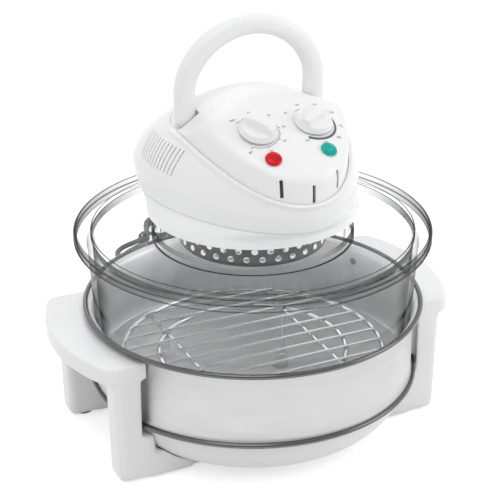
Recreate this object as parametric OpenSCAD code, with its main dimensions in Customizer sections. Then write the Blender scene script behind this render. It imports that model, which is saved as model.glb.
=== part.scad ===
// Halogen oven: glass bowl in a steel band and a white stand, with a lift-off glass lid that
// carries the lamp, the fan, the controls, a fold-back carry handle and the mains cord.
// Millimetres, +Z up, the front towards -Y, origin on the ground below the bowl's axis.

/* [Glass bowl and lid] */
// Outer diameter of the glass rims
rim_d = 340; // [334:1:348]
// Height of each glass rim flange
rim_t = 6; // [5:0.5:7]
// Width of each glass rim flange
rim_w = 11; // [10:0.5:13]
// Wall of the glass
glass_t = 5; // [4:0.5:5.5]
// Height of the bowl from its foot to the top of its rim
bowl_h = 189; // [180:1:200]
// Lean of the bowl's wall from upright, in degrees
bowl_draft = 3.3; // [3:0.1:3.6]
// Radius of the round between the bowl's floor and wall
bowl_round = 50; // [40:1:54]
// Outer diameter of the lid's neck
neck_d = 186; // [182:1:188]
// Height of the neck above the lid's rim
neck_rise = 23.5; // [21:0.5:26]
// How far the lid's brim dips below its rim
brim_dip = 6; // [4:0.5:8]

/* [Steel band and base dish] */
// How far the band's wall stands inside the edge of the rims
band_in = 15; // [14.5:0.5:16]
// Sheet of the band
band_t = 0.8; // [0.6:0.1:1]
// Height of the band's lower bead above the ground
band_low = 57.3; // [55:0.5:60]
// Height of the band between its two beads
band_h = 73.3; // [70:0.5:76]
// How far the upper bead stands out from the band's wall
top_bead_out = 9.2; // [8:0.1:10]
// How far the lower bead stands out from the band's wall
low_bead_out = 4.9; // [4:0.1:5.5]
// Thickness of the rolled beads
bead_t = 5; // [4:0.5:5.5]
// Sheet of the base dish
dish_t = 1.5; // [1:0.5:2]
// Gap between the ground and the dish
dish_floor = 8; // [7:0.5:10]
// Radius of the round under the dish
dish_round = 52; // [44:1:54]
// Thickness of the pads under the bowl
pad_t = 4; // [3:0.5:5]

/* [Stand] */
// Reach of the handle arcs beyond the band's wall
handle_reach = 43.5; // [40:0.5:47]
// Height of the handles' tops above the ground
handle_top = 124; // [118:0.5:126]
// Depth of the handles' aprons
apron_h = 20; // [16:1:24]
// Front face of the stand
stand_front = -67; // [-70:0.5:-64]
// Rear face of the stand
stand_rear = 92; // [88:0.5:96]
// Size of a leg from front to back
leg_y = 26; // [22:1:30]
// Width of a leg at the ground
leg_w = 40; // [37:0.5:45]
// How far a leg reaches in under the band
leg_under = 24; // [21:0.5:29]
// Lean of a leg's outer face from upright, in degrees
leg_lean = 2; // [0:0.5:3]
// Height of the stubs that join the legs to the straps
stub_h = 27; // [22:1:32]
// Height of the rubber feet below the legs
foot_gap = 1.5; // [1:0.5:2]
// Thickness of the straps under the dish
strap_t = 6; // [4:0.5:6]

/* [Head] */
// Half width of the head's egg-shaped plan
egg_a = 100.2; // [98:0.2:102]
// Half length of the head's plan
egg_l = 124; // [122:0.5:126]
// How much wider the plan is at the back than at the nose
egg_k = 0.22; // [0.18:0.01:0.24]
// Wall of the mouldings
shell_t = 3; // [2.5:0.25:3.5]
// Height of the seam above the rims
seam_rise = 37.5; // [35:0.5:40]
// Height of the housing's upright wall
wall_h = 22; // [18:0.5:26]
// Height of the dome above the wall
dome_h = 79; // [74:0.5:84]
// Half width of the control panel's outline
panel_w = 76; // [74:0.5:77]
// Slope of the control panel, in degrees
panel_slope = 22; // [20:0.2:24]
// Slope of the knobs' faces, in degrees
knob_slope = 24.5; // [22:0.5:27]
// Slope of the lights' faces, in degrees
light_slope = 31; // [28:0.5:36]
// Height of the panel's face above the seam, midway between the two lights
panel_rise = 69; // [66:0.5:71]
// Distance between the two knobs
knob_pitch = 54.4; // [52:0.2:58]
// Distance from the lights to the knobs along the panel
knob_up = 33.5; // [32:0.5:35]
// Diameter of a knob's skirt
knob_d = 40; // [36:0.5:42]
// Width of a vent slot
vent_w = 1.6; // [1.2:0.1:2]
// Distance between the vent slots
vent_pitch = 5.4; // [4.6:0.1:6]
// Diameter of a signal lens
lens_d = 15; // [12:0.5:17]

/* [Carry handle] */
// Thickness of the carry handle's bar
bar_d = 19.5; // [17:0.5:20]
// Distance between the middles of the handle's legs
bar_pitch = 130.4; // [128:0.2:132]
// Height of the bar's middle above its pivot
bar_rise = 79.3; // [74:0.5:86]
// Radius of the bar's corners
bar_corner = 50; // [44:1:52]

/* [Cooking parts] */
// Diameter of the lamp guard
guard_d = 140; // [132:1:144]
// Depth of the lamp guard below the reflector
guard_h = 39; // [34:0.5:39]
// Diameter of the lamp's ring along its middle
lamp_d = 112; // [108:1:116]
// Thickness of the lamp's tube
lamp_t = 10; // [8:0.5:11]
// Diameter of the convection fan
fan_d = 84; // [70:1:90]
// How far the rack's rim stands inside the bowl's wall
rack_in = 16.8; // [14:0.2:24]
// Height of the rack
rack_h = 60; // [40:1:64]
// Wire of the rack's rings and legs
wire_d = 5; // [4:0.5:6]

/* [Mains cord] */
// Thickness of the cord
cord_d = 6; // [5.6:0.1:6.2]

/* [Hidden] */
$fn = 64;
around = 40;
eps = 0.01;
gap = 0.3;

// Heights that follow from the stack of pieces
bowl_foot = dish_floor + dish_t + pad_t;
rim_z = bowl_foot + bowl_h;
lid_top = rim_z + rim_t;
rim_r = rim_d / 2;
bowl_r = rim_r - rim_w - 1.5;
rest_r = bowl_r - glass_t - 1;
bowl_floor = bowl_foot + glass_t;
neck_r = neck_d / 2;
neck_top = lid_top + neck_rise;
seal_t = 1.2;
pan_z = neck_top + seal_t;
pan_t = 1;
seam_z = lid_top + seam_rise;
wall_top = seam_z + wall_h;
lip_r = neck_r + 4;
pan_r = lip_r - 2;
grip_r = lip_r + 2 * gap;
ring_r = grip_r + shell_t - gap;
ring_z = neck_top - 7;

// Places on the stand
band_d = rim_d - 2 * band_in;
band_r = band_d / 2;
top_bead_d = band_d + 2 * top_bead_out;
low_bead_d = band_d + 2 * low_bead_out;
flare_z = 5;
handle_r = band_r + handle_reach;
leg_in = band_r - leg_under;
leg_out = leg_in + leg_w;
band_top = band_low + band_h;
dish_r = band_r - band_t - 2.3;
dish_rim = band_low + bead_t;
handle_under = handle_top - apron_h;
leg_rows = [stand_front + leg_y / 2, stand_rear - leg_y / 2];
strap_top = dish_floor;
strap_under = strap_top - strap_t;
strap_end = leg_in + 6;
screw_in = leg_in - 12;

// Tangent circle at the foot of the bowl's leaning wall
wall_foot_r = bowl_r - (rim_z - rim_t - bowl_foot - bowl_round) * tan(bowl_draft);
round_x = wall_foot_r - bowl_round / cos(bowl_draft);
round_z = bowl_foot + bowl_round;
rack_r = wall_foot_r - glass_t - rack_in;

// The head's plan: an egg that is wider behind the middle
egg_y = egg_l - 126;
egg_taper = 0.955;
dome_n = 1.7;
dome_fall = 0.13;
function egg(t, s, w) = [
  (egg_a - w) * s * cos(t) * (1 + egg_k * s * sin(t)),
  egg_y + (egg_l - w) * s * sin(t)
];
function egg_share(x, y, w) =
  let (q = (y - egg_y) / (egg_l - w), c = x / ((egg_a - w) * (1 + egg_k * q)))
  min(1, sqrt(c * c + q * q));
function dome_z(x, y, w) =
  wall_top + (dome_h - w - dome_fall * max(0, y))
  * pow(1 - pow(egg_share(x, y, w), dome_n), 1 / dome_n);

// The panel's outline on the dome, and its face
panel_mid = 5;
panel_nose = egg_y - egg_l + 1.2;
panel_back = 62;
panel_n = 6;
function panel_edge(t, s, w) = [
  (panel_w - w) * s * cos(t),
  panel_mid + s * sin(t) * ((sin(t) < 0 ? panel_mid - panel_nose : panel_back) - w)
];
light_y = -98.5;
light_z = seam_z + panel_rise;
function slope_z(y) = light_z + (y - light_y) * tan(panel_slope);
function ease(u) = let (v = max(0, min(1, u))) v * v * (3 - 2 * v);
function panel_z(t, s, w) =
  let (p = panel_edge(t, s, w), e = panel_edge(t, 1, w))
  let (foot = dome_z(e[0], e[1], 0))
  let (face = foot + (slope_z(p[1]) - foot) * pow(1 - pow(s, panel_n), 1 / panel_n))
  let (top = dome_z(p[0], p[1], 0))
  let (front = ease((-5 - p[1]) / 45))
  face * front + top * (1 - front);
vent_count = 12;
vent_y = -24;
knob_y = light_y + knob_up * cos(panel_slope);
knob_x = knob_pitch / 2;
lens_x = 27;
function on_panel_s(x, y) =
  norm([x / panel_w, (y - panel_mid) / (y < panel_mid ? panel_mid - panel_nose : panel_back)]);
function on_panel_t(x, y) =
  atan2((y - panel_mid) / (y < panel_mid ? panel_mid - panel_nose : panel_back), x / panel_w);
function face_z(x, y) = panel_z(on_panel_t(x, y), on_panel_s(x, y), 0);
knob_z = face_z(knob_x, knob_y);
lens_z = face_z(lens_x, light_y);

// Carry handle: its pivot and its three arcs
pivot_y = 7;
pivot_z = seam_z + 76;
bar_x = bar_pitch / 2;
bar_leg = bar_rise - bar_corner - 8.3;
corner_x = bar_x - bar_corner;
crown_r = (corner_x * corner_x + pow(bar_rise - bar_leg, 2) - bar_corner * bar_corner)
  / (2 * (bar_rise - bar_leg - bar_corner));
crown_turn = atan2(corner_x, crown_r - bar_rise + bar_leg);
fold = 75;
pin_d = 6;

// Inside the head
guard_r = guard_d / 2;
guard_t = 1;
lamp_r = lamp_d / 2;
lamp_z = pan_z - 21;
shaft_d = 6;
run_gap = 0.08;
post_places = [[-72, 42], [72, 42], [-72, -40], [72, -40]];
post_top = seam_z + 16;
function wall_x(y) =
  let (q = (y - egg_y) / egg_l) egg_a * sqrt(1 - q * q) * (1 + egg_k * q) * 0.965;
stator_z = pan_z + pan_t + 28;
stator_h = 20;
bolt_y = 20;
cool_z = stator_z + stator_h + 16;
stem_d = 6;
timer_d = 40;
timer_h = 22;
bush_d = 9;

// Mains cord: its way down behind the oven, then its hank on the table
gland_z = seam_z + 12;
gland_l = 30;
gland_y = egg_y + egg_l * (egg_taper + (1 - egg_taper) * sin(90 * 12 / wall_h)) + gland_l;
cord_z = cord_d / 2;
lift = 1.5;
lead_route = [
  [0, gland_y, gland_z], [0, gland_y + 16, gland_z - 1], [0, 184, 250], [0, 197, 234],
  [0, 204, 212], [0, 206, 180], [0, 207, 140], [0, 208, 100], [0, 210, 62], [0, 216, 34],
  [1, 230, 14], [3, 247, 6], [7, 268, 4], [14, 292, 4], [24, 318, 4], [34, 338, 4]
];
hank_mid = [62, 415];
hank_turn = 48;
hank_run = 93;
hank_out = 29;
hank_in = 18;
hank_waist = 0.42;
hank_loops = 2;
loop_rings = 24;
layer = cord_d + 0.6;
hank_end_share = 45 / 24;
tail_end = [91, 321, 7];

// A closed skin over rings of points, joined end to end or capped by fans at both ends
module ring_skin(rings) {
  n = len(rings[0]);
  m = len(rings);
  faces = [for (i = [0 : m - 1], j = [0 : n - 1])
    let (i2 = (i + 1) % m, j2 = (j + 1) % n)
    each [[i * n + j, i2 * n + j, i2 * n + j2], [i * n + j, i2 * n + j2, i * n + j2]]];
  polyhedron([for (r = rings) each r], faces);
}

module capped_skin(rings, first, last) {
  n = len(rings[0]);
  m = len(rings);
  side = [for (i = [0 : m - 2], j = [0 : n - 1])
    let (j2 = (j + 1) % n)
    each [[i * n + j, (i + 1) * n + j, (i + 1) * n + j2],
      [i * n + j, (i + 1) * n + j2, i * n + j2]]];
  ends = [for (j = [0 : n - 1])
    let (j2 = (j + 1) % n)
    each [[m * n, j, j2], [m * n + 1, (m - 1) * n + j2, (m - 1) * n + j]]];
  polyhedron(concat([for (r = rings) each r], [first, last]), concat(side, ends));
}

// A round tube swept along points, square to them at both ends
function unit(v) = v / norm(v);
function heading(p, i) =
  unit(i == 0 ? p[1] - p[0] : i == len(p) - 1 ? p[i] - p[i - 1] : p[i + 1] - p[i - 1]);
function carried(p, i, side) =
  let (d = heading(p, i)) unit(side - d * (side * d));
function sides_along(p, i, side) =
  i == len(p) ? [] : let (s = carried(p, i, side)) concat([s], sides_along(p, i + 1, s));
module tube(p, d, n) {
  start = abs(heading(p, 0)[2]) < 0.9 ? [0, 0, 1] : [1, 0, 0];
  sides = sides_along(p, 0, start);
  rings = [for (i = [0 : len(p) - 1])
    let (h = heading(p, i), s = sides[i], u = cross(h, s))
    [for (j = [0 : n - 1])
      p[i] + d / 2 * (cos((j + 0.5) * 360 / n) * s + sin((j + 0.5) * 360 / n) * u)]];
  capped_skin(rings, p[0], p[len(p) - 1]);
}
function curve_at(a, b, c, d, u) =
  0.5 * (2 * b + (c - a) * u + (2 * a - 5 * b + 4 * c - d) * u * u
  + (3 * b - a - 3 * c + d) * u * u * u);
function pick(p, i) =
  i < 0 ? 2 * p[0] - p[1] : i >= len(p) ? 2 * p[len(p) - 1] - p[len(p) - 2] : p[i];
function curve(p, steps) = concat(
  [for (i = [0 : len(p) - 2], k = [0 : steps - 1])
    curve_at(pick(p, i - 1), p[i], p[i + 1], pick(p, i + 2), k / steps)],
  [p[len(p) - 1]]);

// Glass: the bowl's outline at a depth into its wall, and a rounded rim
module bowl_outline(w) {
  line_x = round_x + (bowl_round - w) * cos(bowl_draft);
  line_z = round_z - (bowl_round - w) * sin(bowl_draft);
  up = rim_z - line_z;
  translate([round_x, round_z]) circle(bowl_round - w);
  polygon([
    [0, bowl_foot + w], [round_x, bowl_foot + w], [round_x, round_z], [line_x, line_z],
    [line_x + up * tan(bowl_draft), rim_z], [0, rim_z]
  ]);
}

module rim_outline(z) {
  translate([rim_r - rim_w - 2, z]) square([rim_w + 2 - rim_t / 2, rim_t]);
  translate([rim_r - rim_t / 2, z + rim_t / 2]) circle(rim_t / 2);
}

module glass_bowl() {
  color([0.86, 0.9, 0.92, 0.4])
  rotate_extrude() difference() {
    union() {
      intersection() {
        bowl_outline(0);
        square([rim_r, rim_z]);
      }
      rim_outline(rim_z - rim_t);
    }
    intersection() {
      bowl_outline(glass_t);
      translate([0, bowl_foot]) square([rim_r, rim_z]);
    }
    translate([0, rim_z - eps]) square([rim_r - rim_w - glass_t, 1]);
  }
}

module glass_lid() {
  brim_in = neck_r + 8;
  brim_out = rim_r - rim_w;
  low = lid_top - brim_dip;
  color([0.86, 0.9, 0.92, 0.4])
  rotate_extrude() {
    rim_outline(rim_z);
    polygon([
      [neck_r - glass_t, low - glass_t], [brim_in, low - glass_t], [rest_r, rim_z],
      [brim_out, rim_z], [brim_out, rim_z + glass_t + 0.5], [brim_in, low],
      [neck_r - glass_t, low]
    ]);
    difference() {
      translate([neck_r - eps, low - 1]) square([8, 9]);
      translate([neck_r + 8, low + 8]) circle(8);
    }
    translate([neck_r - glass_t, low - glass_t]) square([glass_t, neck_top - low + glass_t]);
    translate([neck_r - eps, neck_top - 4]) square([lip_r - neck_r, 4]);
  }
}

// Stand
module leg_shape(y) {
  lean = handle_top * tan(leg_lean);
  translate([0, y - leg_y / 2, 0])
  rotate([90, 0, 0])
  mirror([0, 0, 1])
  linear_extrude(leg_y)
  polygon([
    [leg_in, foot_gap], [leg_out, foot_gap], [leg_out + lean, handle_top],
    [leg_in, handle_top]
  ]);
}

module foot_places() {
  for (y = leg_rows)
    translate([leg_in + leg_w / 2, y, 0]) children();
}

module dish_outline(w) {
  translate([dish_r - dish_round, dish_floor + dish_round]) circle(dish_round - w);
  translate([0, dish_floor + w]) square([dish_r - dish_round, dish_rim - dish_floor - w]);
  translate([0, dish_floor + dish_round])
    square([dish_r - w, max(0.5, dish_rim - dish_floor - dish_round)]);
}

module side_frame() {
  difference() {
    union() {
      intersection() {
        difference() {
          translate([0, 0, handle_under]) cylinder(r = handle_r, h = apron_h);
          translate([0, 0, handle_under - 1]) cylinder(r = band_r, h = apron_h + 2);
        }
        translate([0, stand_front, handle_under])
          cube([handle_r + 1, stand_rear - stand_front, apron_h]);
      }
      difference() {
        for (y = leg_rows) leg_shape(y);
        translate([0, 0, stub_h + 20]) cylinder(r = band_r + gap, h = handle_top);
        translate([0, 0, band_low - bead_t / 2 - 1])
          cylinder(r = low_bead_d / 2 + 0.6, h = bead_t / 2 + flare_z + 1.5);
      }
      for (y = leg_rows)
        translate([leg_in - 26, y - leg_y / 2, strap_top])
          cube([26 + eps, leg_y, stub_h - strap_top]);
    }
    rotate_extrude() dish_outline(-0.5);
    for (y = leg_rows)
      translate([strap_end - 40 + 0, y - leg_y / 2 + 2, 0])
        cube([40 + gap, leg_y - 4, strap_top]);
    foot_places() translate([0, 0, -1]) cylinder(d = 10.1, h = 5 + foot_gap + 1);
    for (y = leg_rows) translate([screw_in, y, strap_under]) cylinder(d = 3.9, h = 12.5);
    for (a = screw_angles)
      rotate(a) translate([band_r - 10, 0, screw_z]) rotate([0, 90, 0]) cylinder(d = 3.9, h = 26);
  }
}

screw_angles = [-12, 22];
screw_z = handle_under + apron_h / 2;

module side_frame_right() {
  color("white") side_frame();
}

module side_frame_left() {
  color("white") mirror([1, 0, 0]) side_frame();
}

module strap(y) {
  color("whitesmoke")
  difference() {
    translate([-strap_end, y - leg_y / 2 + 2 + gap, strap_under])
      cube([2 * strap_end, leg_y - 4 - 2 * gap, strap_t]);
    for (x = [-screw_in, screw_in])
      translate([x, y, strap_under - 1]) cylinder(d = 4.4, h = strap_t + 2);
  }
}

module front_strap() strap(leg_rows[0]);
module rear_strap() strap(leg_rows[1]);

module strap_screws() {
  color("silver")
  for (x = [-screw_in, screw_in], y = leg_rows)
    translate([x, y, 0]) {
      translate([0, 0, strap_under - 1.6]) cylinder(d = 7.5, h = 1.6);
      translate([0, 0, strap_under - eps]) cylinder(d = 3.8, h = 12);
    }
}

module rubber_feet() {
  color("dimgray")
  for (side = [0, 1]) mirror([side, 0, 0])
    foot_places() {
      cylinder(d = 18, h = foot_gap);
      translate([0, 0, foot_gap - eps]) cylinder(d = 10, h = 4);
    }
}

module base_dish() {
  color("gainsboro")
  rotate_extrude() difference() {
    intersection() {
      dish_outline(0);
      square([dish_r + 1, dish_rim]);
    }
    intersection() {
      dish_outline(dish_t);
      square([dish_r + 1, dish_rim + 5]);
    }
    translate([0, dish_rim - eps]) square([dish_r - dish_t, 5]);
  }
}

module bowl_pads() {
  color("lightgray")
  for (a = [45 : 90 : 315])
    rotate(a) translate([round_x - 14, 0, dish_floor + dish_t]) cylinder(d = 16, h = pad_t);
}

module steel_band() {
  top_x = top_bead_d / 2 - bead_t / 2;
  low_x = low_bead_d / 2 - bead_t / 2;
  color("silver")
  difference() {
    rotate_extrude() {
      translate([band_r - band_t, band_low + flare_z]) square([band_t, band_h - 2 * flare_z]);
      polygon([
        [band_r - band_t, band_top - flare_z - eps], [band_r, band_top - flare_z - eps],
        [top_x, band_top - 0.6], [top_x, band_top + 0.6]
      ]);
      polygon([
        [band_r - band_t, band_low + flare_z + eps], [low_x, band_low - 0.6],
        [low_x, band_low + 0.6], [band_r, band_low + flare_z + eps]
      ]);
      translate([top_x, band_top]) circle(bead_t / 2);
      translate([low_x, band_low]) circle(bead_t / 2);
    }
    for (side = [0, 180], a = screw_angles)
      rotate(side == 0 ? a : 180 - a)
        translate([band_r - 6, 0, screw_z]) rotate([0, 90, 0]) cylinder(d = 4.2, h = 12);
  }
}

module band_screws() {
  color("silver")
  for (side = [0, 180], a = screw_angles)
    rotate(side == 0 ? a : 180 - a)
      translate([band_r - band_t - 0.05, 0, screw_z]) rotate([0, 90, 0]) {
        translate([0, 0, -1]) cylinder(d = 7, h = 1);
        translate([0, 0, -eps]) cylinder(d = 3.8, h = 14);
      }
}

module wire_ring(r, d) {
  rotate_extrude() translate([r, 0]) circle(d / 2);
}

rack_top = bowl_floor + rack_h;
grid_d = 3;
grid_step = 21;
sink = 0.1;
ring_mid = rack_top - grid_d + sink - wire_d / 2;

module wire_rack() {
  leg_r = round_x - 8;
  bar_x = rack_r / 2;
  half = sqrt(rack_r * rack_r - bar_x * bar_x);
  color("silver") {
    translate([0, 0, ring_mid]) wire_ring(rack_r, wire_d);
    translate([0, 0, ring_mid]) wire_ring(leg_r, wire_d);
    for (x = [-bar_x, bar_x])
      translate([x, -half, ring_mid]) rotate([-90, 0, 0])
        cylinder(d = 4, h = 2 * half);
    for (a = [45 : 90 : 315])
      rotate(a) translate([leg_r, 0, bowl_floor]) {
        cylinder(d = wire_d, h = ring_mid - bowl_floor);
        cylinder(d = wire_d + 4, h = 3);
      }
  }
}

module rack_wires() {
  color("silver")
  for (i = [-5 : 5])
    let (half = sqrt(rack_r * rack_r - pow(i * grid_step, 2)))
    translate([-half, i * grid_step, rack_top - grid_d / 2]) rotate([0, 90, 0])
      cylinder(d = grid_d, h = 2 * half);
}

// Head: the ring under it, the housing and the panel
module neck_ring() {
  over = neck_top + 2 * gap;
  rings = [for (k = [0 : 7]) [for (i = [0 : around - 1])
    let (t = i * 360 / around, e = egg(t, egg_taper, 0), f = egg(t, egg_taper, shell_t))
    k == 0 ? [ring_r * cos(t), ring_r * sin(t), ring_z] :
    k == 1 ? [ring_r * cos(t), ring_r * sin(t), over] :
    k == 2 ? [e[0], e[1], seam_z] :
    k == 3 ? [f[0], f[1], seam_z] :
    k == 4 ? [grip_r * cos(t), grip_r * sin(t), over] :
    k == 5 ? [grip_r * cos(t), grip_r * sin(t), ring_z + 3] :
    k == 6 ? [(neck_r + 2 * gap) * cos(t), (neck_r + 2 * gap) * sin(t), ring_z + 3] :
    [(neck_r + 2 * gap) * cos(t), (neck_r + 2 * gap) * sin(t), ring_z]]];
  color("white") ring_skin(rings);
}

module neck_seal() {
  color("lightgray")
  difference() {
    translate([0, 0, neck_top]) cylinder(r = pan_r, h = seal_t);
    translate([0, 0, neck_top - 1]) cylinder(r = neck_r - 2, h = seal_t + 2);
  }
}

module reflector_pan() {
  color("lightsteelblue")
  difference() {
    translate([0, 0, pan_z]) cylinder(r = pan_r, h = pan_t);
    translate([0, 0, pan_z - 1]) cylinder(d = shaft_d + 6, h = pan_t + 2);
    for (p = post_places)
      translate([p[0], p[1], pan_z - 1]) cylinder(d = 4.2, h = pan_t + 2);
  }
}

module lamp_guard() {
  floor_z = pan_z - guard_h;
  flange_r = guard_r + 8.8;
  color("silver")
  difference() {
    union() {
      difference() {
        translate([0, 0, floor_z]) cylinder(r = guard_r, h = guard_h);
        translate([0, 0, floor_z + guard_t]) cylinder(r = guard_r - guard_t, h = guard_h);
      }
      difference() {
        translate([0, 0, pan_z - guard_t]) cylinder(r = flange_r, h = guard_t);
        translate([0, 0, pan_z - guard_t - 1]) cylinder(r = guard_r - eps, h = guard_t + 2);
      }
    }
    for (row = [0 : 2], i = [0 : 29])
      rotate(i * 12 + row * 6) translate([guard_r - 4, 0, floor_z + 7 + row * 8])
        rotate([0, 90, 0]) cylinder(d = 6, h = 8);
    for (ring = [1 : 4], i = [0 : 6 * ring - 1])
      rotate(i * 60 / ring) translate([ring * 14, 0, floor_z - 1]) cylinder(d = 7, h = 3);
    for (a = [30, 150, 270])
      rotate(a) translate([guard_r + 5, 0, pan_z - guard_t - 1]) cylinder(d = 3.4, h = 4);
  }
}

module guard_screws() {
  color("silver")
  for (a = [30, 150, 270])
    rotate(a) translate([guard_r + 5, 0, 0]) {
      translate([0, 0, pan_z - guard_t - 1.8]) cylinder(d = 6, h = 1.8);
      translate([0, 0, pan_z - guard_t - eps]) cylinder(d = 3, h = guard_t);
    }
}

module halogen_lamp() {
  color([1, 0.97, 0.88, 0.7])
  translate([0, 0, lamp_z]) wire_ring(lamp_r, lamp_t);
}

module lamp_clips() {
  color("lightgray")
  difference() {
    for (a = [90, 210, 330])
      rotate(a) translate([lamp_r - 4, -4, lamp_z - 1]) cube([8, 8, pan_z - lamp_z + 1]);
    translate([0, 0, lamp_z]) wire_ring(lamp_r, lamp_t);
  }
}

// The pocket that a leg of the handle swings in, seen from its side
module pocket_side(more) {
  half = bar_d / 2 + 1.6 + more;
  reach = 62;
  low = half - 0.3;
  circle(half);
  polygon([
    [-low, 0], [-low, reach], [reach, reach],
    [reach * sin(fold) + low * cos(fold), reach * cos(fold) - low * sin(fold)],
    [low * cos(fold), -low * sin(fold)]
  ]);
}

module pocket(more) {
  inner = bar_x - bar_d / 2 - 0.5 - more;
  for (side = [0, 1]) mirror([side, 0, 0])
    translate([inner, pivot_y, pivot_z])
      rotate([90, 0, 90]) linear_extrude(panel_w + 3 - inner) pocket_side(more);
}

dome_rings = 7;
function dome_ring(j, w) = [for (i = [0 : around - 1])
  let (t = i * 360 / around, u = pow(j / dome_rings, 2))
  let (e = egg(t, 1, w), q = panel_edge(t, 1, 0))
  let (p = e * (1 - u) + q * u)
  [p[0], p[1], dome_z(p[0], p[1], w)]];
function wall_ring(j, w) = [for (i = [0 : around - 1])
  let (t = i * 360 / around, s = egg_taper + (1 - egg_taper) * sin(j * 30))
  let (e = egg(t, s, w))
  [e[0], e[1], seam_z + wall_h * j / 3]];

module vents() {
  for (side = [0, 1]) mirror([side, 0, 0])
    for (i = [0 : vent_count - 1])
      translate([8.2 - egg_a, vent_y + i * vent_pitch, wall_top + 23.5])
        rotate([4 - 0.28 * i * i, 0, 0]) cube([34, vent_w, 23], center = true);
}

module upper_housing() {
  rings = concat(
    [for (j = [0 : 2]) wall_ring(j, 0)],
    [for (j = [0 : dome_rings]) dome_ring(j, 0)],
    [for (j = [dome_rings : -1 : 0]) dome_ring(j, shell_t)],
    [for (j = [2 : -1 : 0]) wall_ring(j, shell_t)]);
  color("white")
  difference() {
    union() {
      ring_skin(rings);
      for (p = post_places)
        translate([p[0], p[1], pan_z + pan_t]) {
          cylinder(d = 9, h = post_top - pan_z - pan_t);
          mirror([p[0] < 0 ? 1 : 0, 0, 0]) translate([0, -1.5, seam_z + 4 - pan_z - pan_t])
            cube([wall_x(p[1]) - abs(p[0]), 3, post_top - seam_z - 4]);
        }
    }
    for (p = post_places)
      translate([p[0], p[1], pan_z]) cylinder(d = 3, h = 16);
    translate([0, gland_y - gland_l - 12, gland_z]) rotate([-90, 0, 0]) cylinder(d = 10, h = 20);
    translate([0, gland_y - gland_l - 0.6, gland_z]) rotate([-90, 0, 0]) cylinder(d = 17.2, h = 9);
    vents();
  }
}

module housing_screws() {
  color("silver")
  for (p = post_places)
    translate([p[0], p[1], 0]) {
      translate([0, 0, pan_z - 2]) cylinder(d = 6.5, h = 2);
      translate([0, 0, pan_z - eps]) cylinder(d = 3, h = 14);
    }
}

module at_knob(side) {
  translate([side * knob_x, knob_y, knob_z]) rotate([knob_slope, 0, 0]) children();
}

module at_lens(side) {
  translate([side * lens_x, light_y, lens_z]) rotate([light_slope, side * 6, 0]) children();
}

panel_shares = [0.985, 0.95, 0.89, 0.8, 0.66, 0.48, 0.25];
function panel_ring(s, w) = [for (i = [0 : around - 1])
  let (t = i * 360 / around, p = panel_edge(t, s, w))
  [p[0], p[1], panel_z(t, s, w) - max(0, w - gap)]];
function skirt_ring(w) = [for (i = [0 : around - 1])
  let (t = i * 360 / around, p = panel_edge(t, 1, w), e = panel_edge(t, 1, 0))
  [p[0], p[1], dome_z(e[0], e[1], 0) - shell_t - 3]];

function fill_ring() = [for (i = [0 : around - 1])
  let (t = i * 360 / around, p = panel_edge(t, 1, 1))
  [p[0], p[1], min(pivot_z - 14, dome_z(p[0], p[1], 0) - 6)]];

module control_panel() {
  inside = shell_t + gap;
  rings = concat(
    [for (i = [6 : -1 : 0]) panel_ring(panel_shares[i], inside)],
    [skirt_ring(inside), skirt_ring(gap), panel_ring(1, gap)],
    [for (s = panel_shares) panel_ring(s, gap)]);
  color("white")
  difference() {
    union() {
      capped_skin(rings, [0, panel_mid, panel_z(0, 0, inside) - shell_t],
        [0, panel_mid, panel_z(0, 0, gap)]);
      intersection() {
        capped_skin([for (i = [3 : 9]) i == 3 ? fill_ring() : i == 4 ? panel_ring(1, 1) :
          panel_ring(panel_shares[i - 5], 1)], [0, panel_mid, pivot_z - 14],
          [0, panel_mid, panel_z(0, 0, 1)]);
        union() {
          difference() {
            pocket(2.4);
            translate([-bar_x - 60, -100, pivot_z - 40]) cube([51, 300, 60]);
            translate([bar_x + 9, -100, pivot_z - 40]) cube([51, 300, 60]);
          }
          for (side = [-1, 1])
            translate([side * (bar_x - bar_d / 2 - 6.5) - 4.5, pivot_y - 9, pivot_z - 9])
              cube([9, 18, 18]);
        }
      }
    }
    pocket(0);
    for (side = [-1, 1]) {
      at_knob(side) translate([0, 0, -8]) cylinder(d = bush_d, h = 20);
      at_lens(side) translate([0, 0, -10]) cylinder(d = lens_d - 5, h = 20);
      translate([side * (bar_x - bar_d / 2 - 11), pivot_y, pivot_z])
        rotate([0, side * 90, 0]) cylinder(d = pin_d, h = 20);
    }
    for (x = [-27.8, 0, 27.8])
      translate([x, panel_nose + (x == 0 ? 1 : 8), seam_z + (x == 0 ? 38 : 44.3)])
        rotate([-9, 0, 0]) cube([2.6, 10, 16.3], center = true);
  }
}

module lens() {
  intersection() {
    translate([0, 0, -lens_d * 0.55]) sphere(r = lens_d * 0.745);
    cylinder(d = lens_d, h = 6);
  }
  translate([0, 0, -6]) cylinder(d = lens_d - 5.4, h = 6 + eps);
}

module red_lens() {
  color("crimson") at_lens(-1) translate([0, 0, 0.5]) lens();
}

module green_lens() {
  color("lightseagreen") at_lens(1) translate([0, 0, 0.5]) lens();
}

module pilot_lamps() {
  color("ivory")
  for (side = [-1, 1]) at_lens(side) translate([0, 0, -22]) cylinder(d = 8, h = 16.5);
}

module dial_body() {
  difference() {
    union() {
      translate([0, 0, -shell_t - 2.5 - timer_h]) cylinder(d = timer_d, h = timer_h);
      translate([0, 0, -shell_t - 2.5 - eps]) cylinder(d = bush_d, h = shell_t + 3);
    }
    translate([0, 0, -shell_t - 2.5 - timer_h + 4])
      cylinder(d = stem_d + 2 * run_gap, h = timer_h + 12);
  }
}

module timer_body() {
  color("dimgray") at_knob(-1) dial_body();
}

module thermostat_body() {
  color("tan") at_knob(1) dial_body();
}

module dial_shaft() {
  translate([0, 0, -shell_t - 2.5 - timer_h + 4.3]) cylinder(d = stem_d, h = timer_h + 12);
}

module timer_shaft() {
  color("silver") at_knob(-1) dial_shaft();
}

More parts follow.
